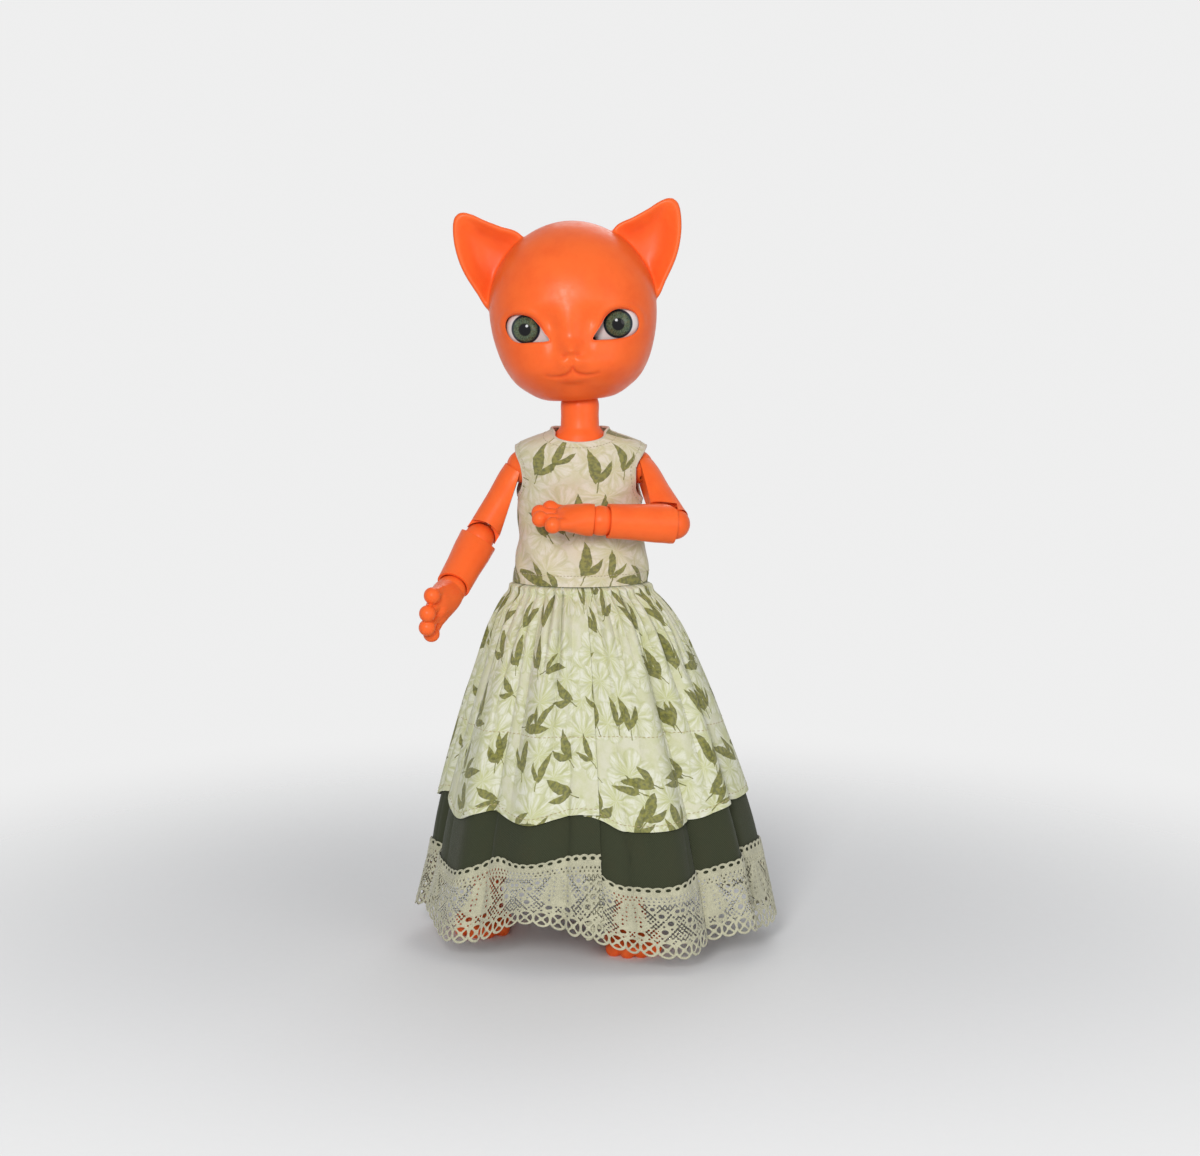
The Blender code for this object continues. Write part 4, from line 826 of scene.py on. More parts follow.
def make_eyes():
    """Glass eyes with a bulging cornea, set to look where the photographed ones do."""
    iris = IRIS_RADIUS * MM
    angles = np.concatenate([np.linspace(0.004, 0.9, 70), np.linspace(0.93, math.pi - 0.01, 50)])
    turns = np.arange(96) * 2 * np.pi / 96
    reach = EYEBALL_RADIUS * np.sin(angles)
    dome = np.where(reach < iris, CORNEA_HEIGHT * (1 - (reach / iris) ** 2), 0.0) * (angles < 1.2)
    forward = EYEBALL_RADIUS * np.cos(angles) + EYE_FORWARD + dome
    spread = smooth_step(reach, iris * 0.96, EYEBALL_RADIUS) * (angles < EYE_FRONT_ANGLE)
    slope = np.cos(np.minimum(angles, EYE_FRONT_ANGLE))
    fuller = EYEBALL_RADIUS * (slope ** WHITE_FULLNESS - slope)
    for side, sign in SIDES.items():
        centre = eye_centre(side)
        iris_x, iris_z = (value * MM for value in IRIS_PLACES[side])
        gaze = Vector((iris_x - centre.x, -math.sqrt(EYEBALL_RADIUS ** 2 - (iris_x - centre.x) ** 2),
                       iris_z - centre.z)).normalized()
        across, up = frame_along(gaze, ACROSS)
        inward = np.clip(-sign * np.cos(turns), 0, 1) ** 0.7
        wide = 1 + EYE_STRETCH * spread[:, None] * inward[None, :]
        ahead = forward[:, None] + fuller[:, None] * spread[:, None] * inward[None, :]
        aside = np.cos(turns)[:, None] * np.array(across) + np.sin(turns)[:, None] * np.array(up)
        grid = (np.array(centre) + ahead[:, :, None] * np.array(gaze)
                + (reach[:, None] * wide)[:, :, None] * aside)
        eye = closed_surface(f"doll_eye_{side}", grid)
        away = np.where(angles < EYE_FRONT_ANGLE, reach, EYEBALL_RADIUS) / MM
        add_point_values(eye.data, "reach", np.repeat(away, len(turns)))
        add_point_values(eye.data, "turn", np.tile(turns, len(angles)))
        eye.data.transform(head_matrix())
        finish_piece(eye, "head", eye_finish(side), [f"eyeball_{side}"], 80)


# Body and limbs

UPPER_ARM_SHARES = ((-0.16, 0.62), (-0.06, 0.92), (0.12, 1.04), (0.50, 0.98), (0.85, 0.96), (1.08, 0.92),
                    (1.20, 0.70))
FOREARM_SHARES = ((-0.16, 0.74), (-0.05, 0.97), (0.18, 1.02), (0.55, 0.94), (0.88, 0.90), (1.04, 0.88))
THIGH_SHARES = ((-0.14, 0.62), (-0.02, 0.97), (0.12, 1.05), (0.40, 1.00), (0.75, 0.84), (0.95, 0.80),
                (1.09, 0.72))
SHIN_SHARES = ((-0.12, 0.78), (-0.02, 0.98), (0.20, 1.02), (0.45, 0.98), (0.75, 0.80), (0.92, 0.76),
               (1.02, 0.74))
CHEST_SHARES = ((0.0, 0.80, 0.92), (0.16, 0.82, 0.98), (0.36, 0.94, 1.04), (0.56, 1.0, 0.98),
                (0.74, 1.02, 0.86), (0.86, 0.88, 0.76), (0.95, 0.60, 0.66), (1.0, 0.40, 0.60))
CHEST_HALF_WIDTH = 0.0195
CHEST_HALF_DEPTH = 0.0122
WAIST_SETBACK = 0.0016
# Height above the neck's root, half width and half depth
NECK_ROOT = (0.0010, 0.0069, 0.0066)
NECK_FILLET = 0.0021
NECK_TAPER = 0.985
PALM_SHARES = ((0.0, 0.80, 0.96), (0.30, 0.92, 1.0), (0.60, 1.08, 0.84), (0.85, 1.16, 0.66),
               (1.0, 0.98, 0.44))
FOOT_SHARES = ((0.0, 0.34, 0.62), (0.07, 0.62, 0.92), (0.28, 0.80, 1.0), (0.52, 0.90, 0.88),
               (0.74, 1.06, 0.66), (0.88, 1.04, 0.52), (0.96, 0.80, 0.40))
STUB_SHARES = ((0.10, 0.98), (0.40, 1.02), (0.62, 1.06))
# Shares of the paw's reach and of its spread at the tip of each toe
PAW_TOES = ((0.80, -1.0), (1.0, -0.36), (1.0, 0.36), (0.82, 1.0))
FOOT_TOES = ((0.90, -1.0), (1.0, -0.35), (0.99, 0.34), (0.87, 1.0))
HAND_ANGLES = {"left": (-95.0, 4.0), "right": (42.0, 60.0)}
PAW_WIDTH_WAYS = {"left": Vector((0, 1, 0.25)), "right": Vector((0.2, 0, 1))}
PALM_LENGTH = 0.0140
PALM_HALF_WIDTH = 0.0062
PALM_HALF_DEPTH = 0.0052
PALM_EDGE_RADIUS = 0.0038
PAW_REACH = 0.0196
PAW_SPREAD = 0.0074
TOE_ROOT = 0.66
FINGER_RADII = (0.0019, 0.00275)
ANKLE_HEIGHT = 0.0130
HEEL_BACK = 0.0078
FOOT_LENGTH = 0.0280
FOOT_HALF_WIDTH = 0.0075
FOOT_HEIGHT = 0.0092
FOOT_SPREAD = 0.0066
FOOT_SPLAY = 4.0
STUB_RADIUS = 0.0056
TOE_HEIGHT = 0.0023
TOE_STEM = 0.006
TOE_RADII = (0.0026, 0.0028)
HOOK_DROP = 62.0
HOOK_POCKET = (0.0042, 0.0016, 0.0080)
HOOK_POCKET_START = 0.0007
HOOK_POCKET_MIDDLE = 0.0020


def hanging(side, out, forward):
    """Unit vector that hangs down, leans out to the side and forward by angles in degrees."""
    out, forward = math.radians(out), math.radians(forward)
    return Vector((SIDES[side] * math.sin(out) * math.cos(forward), -math.sin(forward),
                   -math.cos(out) * math.cos(forward)))


def socket(name, centre, kind):
    """Cutter for the hollow round a joint ball."""
    return ball(name + "_socket", centre, BALL_RADII[kind] * SOCKET_SHARE + BALL_GAP, 24)


def joint_ball(name, centre, kind, ways):
    """A joint ball with a cord bore along each way."""
    radius = BALL_RADII[kind]
    thing = ball("doll_" + name, centre, radius, 26)
    carve(thing, [rod(f"{name}_bore_{number}", centre - way * BORE_RADIUS,
                      centre + way * (radius + BORE_OVERSHOOT), BORE_RADIUS)
                  for number, way in enumerate(ways)])
    finish_vinyl(thing, name, 60)


def meeting_ends(upper, lower, joint, upper_way, lower_way, radius, limit, notch=0.0):
    """Cuts that let two limbs bend about a ball up to a limit."""
    axis = upper_way.cross(lower_way).normalized()
    upper_cuts = [half_space("end_face", joint, -upper_way, END_GAP)]
    lower_cuts = [half_space("end_face", joint, lower_way, END_GAP)]
    if notch:
        notch_way = Matrix.Rotation(math.radians(-notch), 3, axis) @ lower_way
        lower_cuts.append(half_space("notch", joint, notch_way, END_GAP))
    for number in range(SWEEP_STEPS):
        way = Matrix.Rotation(math.radians(limit * (number + 1) / SWEEP_STEPS), 3, axis) @ upper_way
        upper_cuts.append(rod(f"bend_{number}", joint, joint + way * SWEEP_LENGTH,
                              radius * SWEEP_SHARE + END_GAP, sides=48))
    carve(upper, upper_cuts)
    carve(lower, lower_cuts)


def hook_pocket(centre, way, kind, flat):
    """Cutter for the pocket that takes a wire hook beside a joint ball."""
    across, _ = frame_along(way, flat)
    start = centre + way * (BALL_RADII[kind] + HOOK_POCKET_START)
    shape = bmesh.new()
    bmesh.ops.create_cube(shape, size=1)
    bmesh.ops.scale(shape, verts=shape.verts, vec=HOOK_POCKET)
    turn = Matrix((across, way.cross(across), way)).transposed().to_4x4()
    bmesh.ops.transform(shape, verts=shape.verts,
                        matrix=Matrix.Translation(start + way * HOOK_POCKET_MIDDLE) @ turn)
    return release("hook_pocket", shape)


def toe(name, root, tip, stem, radius):
    """A toe: a short stem and a round tip."""
    return [rod(name + "_stem", root, tip, stem * 1.15, stem, sides=24), ball(name + "_tip", tip, radius, 16)]


def make_torso():
    """Chest in one piece with the neck, and the waist ball."""
    base = NECK.z - NECK_LENGTH
    low = WAIST.z - WAIST_SETBACK
    shares = np.linspace(0, 1, 46)
    rows = [(low + (base - low) * share, CHEST_HALF_WIDTH * wide, CHEST_HALF_DEPTH * deep)
            for share, (wide, deep) in zip(shares, eased(CHEST_SHARES, shares))]
    root_up, root_wide, root_deep = NECK_ROOT
    slim = NECK_RADIUS * NECK_TAPER
    rows += [(base + root_up, root_wide, root_deep), (base + NECK_FILLET, NECK_RADIUS, NECK_RADIUS),
             (NECK.z - 0.003, slim, slim), (NECK.z, NECK_RADIUS, NECK_RADIUS)]
    for turn in np.radians(np.linspace(8, 62, 10)):
        width = NECK_RADIUS * math.cos(turn)
        rows.append((NECK.z + NECK_RADIUS * math.sin(turn), width, width))
    chest = loft("doll_chest", [(Vector((BODY_X, 0, high)), ACROSS, DEPTH, wide, deep)
                                for high, wide, deep in rows], 80)
    cutters = [half_space("chest_waist", WAIST, UP, WAIST_SETBACK), socket("chest_waist", WAIST, "waist"),
               rod("neck_bore", WAIST, NECK + UP * (NECK_RADIUS + BORE_OVERSHOOT), NECK_BORE_RADIUS)]
    shoulders = {side: joint_place(f"shoulder_swing_{side}") for side in SIDES}
    for side, sign in SIDES.items():
        cutters += [half_space(f"chest_{side}", shoulders[side], -ACROSS * sign, SHOULDER_SETBACK),
                    socket(f"chest_{side}", shoulders[side], "shoulder")]
    cutters.append(rod("arm_bore", shoulders["left"], shoulders["right"], BORE_RADIUS))
    carve(chest, cutters)
    finish_vinyl(chest, "chest", 45)
    joint_ball("waist_ball", WAIST, "waist", (UP, -UP))


def make_arm(side):
    """Upper arm, forearm, their balls and the paw of one arm."""
    shoulder, elbow, wrist = (joint_place(f"{name}_{side}")
                              for name in ("shoulder_swing", "elbow_bend", "wrist_twist"))
    upper_way, fore_way = (elbow - shoulder).normalized(), (wrist - elbow).normalized()
    hand_way = hanging(side, *HAND_ANGLES[side])
    outward = ACROSS * SIDES[side]
    upper = limb(f"doll_upper_arm_{side}", shoulder, upper_way, (elbow - shoulder).length, ARM_RADIUS,
                 UPPER_ARM_SHARES)
    fore = limb(f"doll_forearm_{side}", elbow, fore_way, (wrist - elbow).length, FOREARM_RADIUS,
                FOREARM_SHARES)
    lift = upper_way.cross(outward).normalized()
    rest = math.degrees(upper_way.angle(outward))
    carve(upper, [half_space(f"shoulder_{number}", shoulder,
                             Matrix.Rotation(math.radians(angle - rest), 3, lift) @ outward, SHOULDER_SETBACK)
                  for number, angle in enumerate(SHOULDER_LIMITS)])
    meeting_ends(upper, fore, elbow, upper_way, fore_way, FOREARM_RADIUS, ELBOW_LIMITS[side],
                 ELBOW_NOTCHES[side])
    carve(fore, [half_space("wrist_face", wrist, -fore_way, WRIST_SETBACK),
                 socket("fore_top", elbow, "elbow"), socket("fore_end", wrist, "wrist"),
                 rod("fore_bore", elbow, wrist, BORE_RADIUS)])
    carve(upper, [socket("upper_top", shoulder, "shoulder"), socket("upper_end", elbow, "elbow"),
                  rod("upper_bore", shoulder, elbow, BORE_RADIUS)])
    finish_vinyl(upper, f"upper_arm_{side}")
    finish_vinyl(fore, f"forearm_{side}")
    for kind, centre, ways in (("shoulder", shoulder, (-outward, upper_way)),
                               ("elbow", elbow, (-upper_way, fore_way)),
                               ("wrist", wrist, (-fore_way, hand_way))):
        joint_ball(f"{kind}_ball_{side}", centre, kind, ways)
    make_hand(side, wrist, hand_way)


def make_hand(side, wrist, way):
    """A paw with a padded palm and four ball toes."""
    across, through = frame_along(way, PAW_WIDTH_WAYS[side])
    shares = np.linspace(0, 1, 26)
    stations = [(wrist + way * (PALM_LENGTH * share), across, through, PALM_HALF_WIDTH * wide,
                 PALM_HALF_DEPTH * thick) for share, (wide, thick) in zip(shares, eased(PALM_SHARES, shares))]
    parts = [loft("palm", stations, 48),
             ball("palm_edge", wrist + way * (PALM_LENGTH * 0.80), PALM_EDGE_RADIUS, 20)]
    for number, (along, aside) in enumerate(PAW_TOES):
        tip = wrist + way * (PAW_REACH * along) + across * (PAW_SPREAD * aside)
        root = wrist + way * (PALM_LENGTH * TOE_ROOT) + across * (PAW_SPREAD * aside * TOE_ROOT)
        parts += toe(f"toe_{number}", root, tip, *FINGER_RADII)
    hand = remeshed(f"doll_hand_{side}", parts, sizes().paw_grain, 10)
    carve(hand, [half_space("wrist_face", wrist, way, WRIST_SETBACK), socket("hand", wrist, "wrist"),
                 hook_pocket(wrist, way, "wrist", across)])
    finish_vinyl(hand, f"hand_{side}", FINE_SHARP_ANGLE)


def make_leg(side):
    """Thigh, shin, their balls and the foot of one leg."""
    hip, knee, ankle = (joint_place(f"{name}_{side}") for name in ("hip_swing", "knee_bend", "ankle_twist"))
    thigh_way, shin_way = (knee - hip).normalized(), (ankle - knee).normalized()
    thigh = limb(f"doll_thigh_{side}", hip, thigh_way, (knee - hip).length, THIGH_RADIUS, THIGH_SHARES)
    shin = limb(f"doll_shin_{side}", knee, shin_way, (ankle - knee).length, SHIN_RADIUS, SHIN_SHARES)
    carve(thigh, [half_space("hip_face", hip, thigh_way, END_GAP)])
    meeting_ends(thigh, shin, knee, thigh_way, shin_way, SHIN_RADIUS, KNEE_LIMIT)
    carve(thigh, [socket("thigh_top", hip, "hip"), socket("thigh_end", knee, "knee"),
                  rod("thigh_bore", hip, knee, BORE_RADIUS)])
    carve(shin, [half_space("ankle_face", ankle, -shin_way, ANKLE_SETBACK),
                 socket("shin_top", knee, "knee"), socket("shin_end", ankle, "ankle"),
                 rod("shin_bore", knee, ankle, BORE_RADIUS)])
    finish_vinyl(thigh, f"thigh_{side}")
    finish_vinyl(shin, f"shin_{side}")
    for kind, centre, ways in (("hip", hip, ((WAIST - hip).normalized(), thigh_way)),
                               ("knee", knee, (-thigh_way, shin_way)),
                               ("ankle", ankle, (-shin_way, -UP))):
        joint_ball(f"{kind}_ball_{side}", centre, kind, ways)
    make_foot(side, ankle, shin_way)


def make_foot(side, ankle, shin_way):
    """A broad paw with four ball toes, flat under its sole."""
    splay = math.radians(FOOT_SPLAY)
    across = Vector((math.cos(splay), math.sin(splay) * SIDES[side], 0))
    forward = Vector((across.y, -across.x, 0))
    floor = ankle.z - ANKLE_HEIGHT
    heel = Vector((ankle.x, ankle.y, floor)) - forward * HEEL_BACK
    shares = np.linspace(0, 0.96, 34)
    stations = [(heel + forward * (FOOT_LENGTH * share) + UP * (FOOT_HEIGHT * high * 0.45), across, UP,
                 FOOT_HALF_WIDTH * wide, FOOT_HEIGHT * high * 0.55)
                for share, (wide, high) in zip(shares, eased(FOOT_SHARES, shares))]
    parts = [loft("instep", stations, 48),
             limb("stub", ankle, -UP, ANKLE_HEIGHT, STUB_RADIUS, STUB_SHARES, steps=12)]
    for number, (along, aside) in enumerate(FOOT_TOES):
        tip = heel + forward * (FOOT_LENGTH * along) + across * (FOOT_SPREAD * aside) + UP * TOE_HEIGHT
        parts += toe(f"toe_{number}", tip - forward * TOE_STEM + UP * TOE_HEIGHT, tip, *TOE_RADII)
    foot = remeshed(f"doll_foot_{side}", parts, sizes().paw_grain, 8)
    drop = math.radians(HOOK_DROP)
    down = (forward * math.cos(drop) - UP * math.sin(drop)).normalized()
    carve(foot, [half_space("sole", Vector((ankle.x, ankle.y, floor)), UP, 0),
                 half_space("ankle_face", ankle, shin_way, ANKLE_SETBACK),
                 socket("foot", ankle, "ankle"), hook_pocket(ankle, down, "ankle", across)])
    finish_vinyl(foot, f"foot_{side}", FINE_SHARP_ANGLE)


# Dress

BODICE_SHARES = ((0.0, 0.98, 1.01), (0.12, 0.96, 0.99), (0.30, 0.90, 0.95), (0.44, 0.87, 0.94),
                 (0.62, 0.93, 0.98), (0.78, 0.99, 0.94), (0.88, 1.0, 0.80), (0.94, 0.87, 0.72),
                 (0.98, 0.66, 0.65), (1.01, 0.47, 0.59), (1.05, 0.40, 0.54))
BODICE_HALF_WIDTH = 0.0228
BODICE_HALF_DEPTH = 0.0150
BODICE_TOP = 0.0112
# Radius and height of the bodice's flat cloth, and its place on the print, in millimetres
BODICE_FLAT_RADIUS = 19.0
BODICE_FLAT_HEIGHT = 51.3
BODICE_FLAT_CORNER = (40.0, 14.0)
ARMHOLE_START = 0.0130
ARMHOLE_END = 0.034
# Drop below the shoulder's axis, half depth and half height
ARMHOLES = {"left": (0.0018, 0.0082, 0.0088), "right": (0.0013, 0.0073, 0.0083)}
STITCHED_EDGE = 1.16
BINDING_RADIUS = 0.00042
BINDING_INSET = -0.0003
PLACKET_HALF_WIDTH = 0.0027
PLACKET_STITCH_SHIFT = 0.0020
PLACKET_LIFT = 0.0009
PLACKET_THICKNESS = 0.0007
BACK_RADIUS = 0.020
STITCH_SHARE = 0.62
CLOTH = 0.0006
SKIRT_WAIST = (0.0236, 0.0176)
SKIRT_HEM = (0.0618, 0.0520)
SKIRT_FOOT = 0.004
SKIRT_FLAT_HEIGHT = (SEAM_Z - 0.048) / MM * 1.09
RIGHT_PRINT_SHIFT = 240
FLARE_SHARE = 0.57
LAYER_SPACING = 0.0014
FRONT_LAP = -3.0
BACK_EDGE = 182.0
RIPPLE_SEEDS = {"left": 11, "right": 23}
GATHER_COUNT = 23
MIDDLE_COUNT = 11
FOLD_COUNT = 6
MIDDLE_DEPTH = 0.0016
PLEAT_DEPTH = 0.0010
YOKE_DIP = 0.0043
SEAM_DRAW = (0.0006, 0.0016)
UNDER_BODICE = 0.0012
FOOT_DRAW = 0.0012
SKIRT_GAP = 0.0004
FOOT_SHIFT = 0.0003
RIGHT_SLIMNESS = 0.035
TUCK_UP = 0.0010
JOINING_HEIGHT = 0.0745
HEM_STITCH_HEIGHT = 0.0019
LACE_OVERLAP = 0.0030

# Degrees from the front towards the side, and heights above the floor in millimetres
OVERSKIRT_HEM = {
    "right": ((-4, 50.6), (0, 50.6), (5, 50.7), (13, 49.3), (22.1, 47.3), (31, 47.8), (40.1, 49.9),
              (48, 48.2), (57.2, 45.6), (66, 46.6), (73.8, 49.6), (84, 50.4), (97, 47.4), (112, 50.8),
              (126, 47.6), (141, 50.2), (156, 47.4), (170, 49.6), (180, 49.0)),
    "left": ((-4, 50.2), (0, 49.8), (4, 48.6), (11.3, 45.4), (18, 45.0), (25.3, 45.5), (34, 46.2),
             (43, 47.4), (56, 50.4), (70, 50.2), (80, 51.2), (90, 52.2), (103, 49.0), (118, 51.4),
             (133, 47.6), (148, 50.4), (163, 47.6), (180, 49.0)),
}
LACE_TOP = {
    "right": ((-4, 38.4), (0, 38.5), (5.1, 38.3), (12, 36.9), (20.3, 35.3), (28, 34.9), (37.1, 35.7),
              (45, 32.2), (53.9, 29.4), (64, 29.4), (74.9, 31.2), (90, 33.6), (105, 31.4), (120, 33.8),
              (135, 31.0), (150, 33.6), (165, 31.4), (180, 32.4)),
    "left": ((-4, 35.0), (0, 33.4), (6.5, 29.5), (18.3, 27.5), (33.4, 29.4), (49.8, 32.4), (68, 34.6),
             (87, 34.9), (102, 31.8), (117, 34.2), (132, 31.2), (147, 34.0), (163, 31.4), (180, 32.4)),
}
LACE_BOTTOM = {
    "right": ((-4, 11.9), (0, 11.7), (4.8, 11.9), (13.1, 14.3), (24.9, 15.8), (32.2, 11.8), (41, 7.4),
              (52.1, 6.4), (62, 8.8), (73.5, 12.2), (88, 11.0), (103, 7.6), (118, 11.2), (133, 7.0),
              (148, 10.6), (164, 7.2), (180, 8.4)),
    "left": ((-4, 11.4), (0, 10.2), (8.9, 7.6), (20.5, 5.0), (29.6, 4.9), (40.4, 7.6), (57, 8.8),
             (74.1, 6.6), (89, 9.8), (104, 6.4), (120, 10.4), (135, 6.6), (150, 10.4), (165, 7.0),
             (180, 8.4)),
}


def ripple(share, count, seed, sharp):
    """An uneven wave between -1 and 1 along the cloth, with rounder ridges than valleys when sharp is under one."""
    rng = random.Random(seed)
    drift = sum(rng.uniform(0.10, 0.22) / step * np.sin(2 * np.pi * (share * step * 1.7 + rng.random()))
                for step in (1, 2, 3, 5))
    slow = 0.38 * np.sin(2 * np.pi * (share * 2.3 + rng.random()))
    quick = 0.3 * np.sin(2 * np.pi * (share * 7.1 + rng.random()))
    wave = np.abs(np.cos(np.pi * count * share + np.pi * drift + rng.random())) ** sharp
    return (2 * wave - 1) * (1 + slow + quick) * 0.8


def skirt_places(side, angle, height, inset):
    """World places on the gathered skirt, from angles in degrees away from the front and heights in metres."""
    sign = SIDES[side]
    drop = np.clip((SEAM_Z - height) / (SEAM_Z - SKIRT_FOOT), 0, 1.02)
    flare = drop ** FLARE_SHARE
    narrowing = YOKE_DIP * smooth_step(drop, -0.01, 0.03) * (1 - smooth_step(drop, 0.20, 0.72))
    share = (angle - FRONT_LAP) / (BACK_EDGE - FRONT_LAP)
    seed = RIPPLE_SEEDS[side]
    gather = smooth_step(drop, -0.02, 0.04) * (1 - smooth_step(drop, 0.06, 0.30))
    middle = smooth_step(drop, 0.0, 0.14) * (1 - 0.85 * smooth_step(drop, 0.22, 0.62))
    broad = smooth_step(drop, 0.02, 0.36)
    wave = (sizes().gather_depth * gather * ripple(share, GATHER_COUNT, seed, 0.6)
            + MIDDLE_DEPTH * middle * ripple(share + 0.015 * drop, MIDDLE_COUNT, seed + 1, 0.6)
            + sizes().fold_depth * broad * ripple(share - 0.02 * drop, FOLD_COUNT, seed + 2, 0.7))
    calm = smooth_step(angle, -FRONT_LAP, 14.0) * (1 - smooth_step(angle, 167.0, 360.0 - BACK_EDGE))
    under_bodice = 1 - smooth_step(SEAM_Z - height, -0.0002, 0.0006)
    tuck = inset + SKIRT_GAP + UNDER_BODICE * under_bodice + FOOT_DRAW * drop + narrowing
    if side == "left":
        lap = 1 - smooth_step(angle, 2.5, 15.0) + smooth_step(angle, 166.0, 178.0)
        tuck = tuck + PLEAT_DEPTH * lap * (1 - 0.4 * under_bodice)
    reach = wave * calm - tuck
    seam = 1 - smooth_step(drop, 0.0, 0.09)
    half_width, half_depth = (waist + (hem - waist) * flare + reach - draw * seam
                              for waist, hem, draw in zip(SKIRT_WAIST, SKIRT_HEM, SEAM_DRAW))
    if side == "right":
        slim = smooth_step(drop, 0.02, 0.10) * (1 - smooth_step(drop, 0.75, 1.0))
        half_width = half_width * (1 - RIGHT_SLIMNESS * slim)
    turn = np.radians(sign * angle)
    return np.stack([BODY_X * (1 - flare) - FOOT_SHIFT * flare + half_width * np.sin(turn),
                     -FOOT_SHIFT * flare - half_depth * np.cos(turn), height], -1)


def edge_height(tables, side, angle):
    """Height of a skirt edge in metres at angles from the front."""
    return eased(tables[side], np.minimum(angle, 180.0))[..., 0] * MM


def thicken(thing, depth):
    """Give a cloth its thickness and keep its flat map."""
    change = thing.modifiers.new("thickness", "SOLIDIFY")
    change.thickness = depth
    change.offset = -1.0
    change.use_even_offset = False
    return bake(thing)


def skirt_layer(name, side, inset, hem_table, drop_below, columns, rows):
    """One half of a skirt layer as a thin cloth with its flat map in millimetres."""
    angle = np.linspace(FRONT_LAP, BACK_EDGE, columns)
    hem = edge_height(hem_table, side, angle) - drop_below
    down = np.concatenate([np.linspace(0, 0.04, 8)[:-1], np.linspace(0.04, 1, rows - 7)])
    top = SEAM_Z + TUCK_UP
    height = top + (hem[None, :] - top) * down[:, None]
    grid = skirt_places(side, np.broadcast_to(angle, height.shape), height, inset)
    share = (angle - FRONT_LAP) / (BACK_EDGE - FRONT_LAP)
    shift = RIGHT_PRINT_SHIFT if side == "right" else 0
    flat = np.stack([np.broadcast_to(share * sizes().hem_flat / MM, height.shape) + shift,
                     np.broadcast_to((1 - down[:, None]) * SKIRT_FLAT_HEIGHT, height.shape)], -1)
    if side == "right":
        grid, flat = grid[:, ::-1], flat[:, ::-1]
    layer = surface(f"{name}_{side}", grid[::-1], flat=flat[::-1])
    return thicken(layer, CLOTH)


def stitch_row(name, places, lean, pitch, material):
    """Small thread stitches along a line that lies on a cloth, whose outward directions lean up."""
    normals = cloth_normals(places, lean)
    run = np.concatenate([[0], np.cumsum(np.linalg.norm(np.diff(places, axis=0), axis=1))])
    count = max(2, int(run[-1] / pitch))
    radius = sizes().stitch_thread
    sides, swells = 6, (0.45, 1.0, 1.0, 0.45)
    verts, faces = [], []
    for number in range(count):
        ends = (number + 0.5 + np.array([-0.5, -0.25, 0.25, 0.5]) * STITCH_SHARE) / count * run[-1]
        middle = np.column_stack([np.interp(ends, run, places[:, axis]) for axis in range(3)])
        out = np.array([np.interp(ends[1], run, normals[:, axis]) for axis in range(3)])
        out = out / np.linalg.norm(out)
        side = np.cross(middle[3] - middle[0], out)
        side = side / np.linalg.norm(side)
        start = len(verts)
        for point, swell in zip(middle, swells):
            for turn in range(sides):
                bend = turn * 2 * math.pi / sides
                verts.append(point + radius * swell * (side * math.cos(bend) + out * (math.sin(bend) + 0.1)))
        for ring in range(len(swells) - 1):
            base = start + ring * sides
            for turn in range(sides):
                after = (turn + 1) % sides
                faces.append((base + turn, base + after, base + sides + after, base + sides + turn))
        last = start + sides * (len(swells) - 1)
        faces += [tuple(range(start + sides - 1, start - 1, -1)), tuple(range(last, last + sides))]
    mesh = bpy.data.meshes.new(name)
    mesh.from_pydata([tuple(vert) for vert in verts], [], faces)
    return finish_piece(link(name, mesh), None, material, angle=80)


def cloth_normals(places, lean):
    """Rough outward directions of a line of places round the body's axis."""
    out = places - np.array([BODY_X, 0, 0])
    out[:, 2] = lean
    out[:, :2] /= np.maximum(np.linalg.norm(out[:, :2], axis=1, keepdims=True), 1e-6)
    return out


# Blossoms of the print: place of their grid, size and petals, then leaf pairs: place, grid, length and width
BLOSSOMS = (((3.1, 8.4, 0), 8.0, 2.5), ((9.3, 2.2, 0), 9.2, 3.0), ((15.0, 11.0, 0), 7.2, 2.5))
BLOSSOM_SPACING = 19.0
LEAF_PAIRS = (((0.0, 0.0, 0), 16.5, 6.0, 1.75), ((7.7, 5.1, 0), 19.0, 5.2, 1.30))
# Turn of each leaf of a pair, and its share of the pair's length
LEAF_SWINGS = ((-0.34, 1.0), (0.42, 0.72))
WEAVE_PITCH = 0.42
TWILL_PITCH = 0.62
TWILL_CROSS_PITCH = 0.33


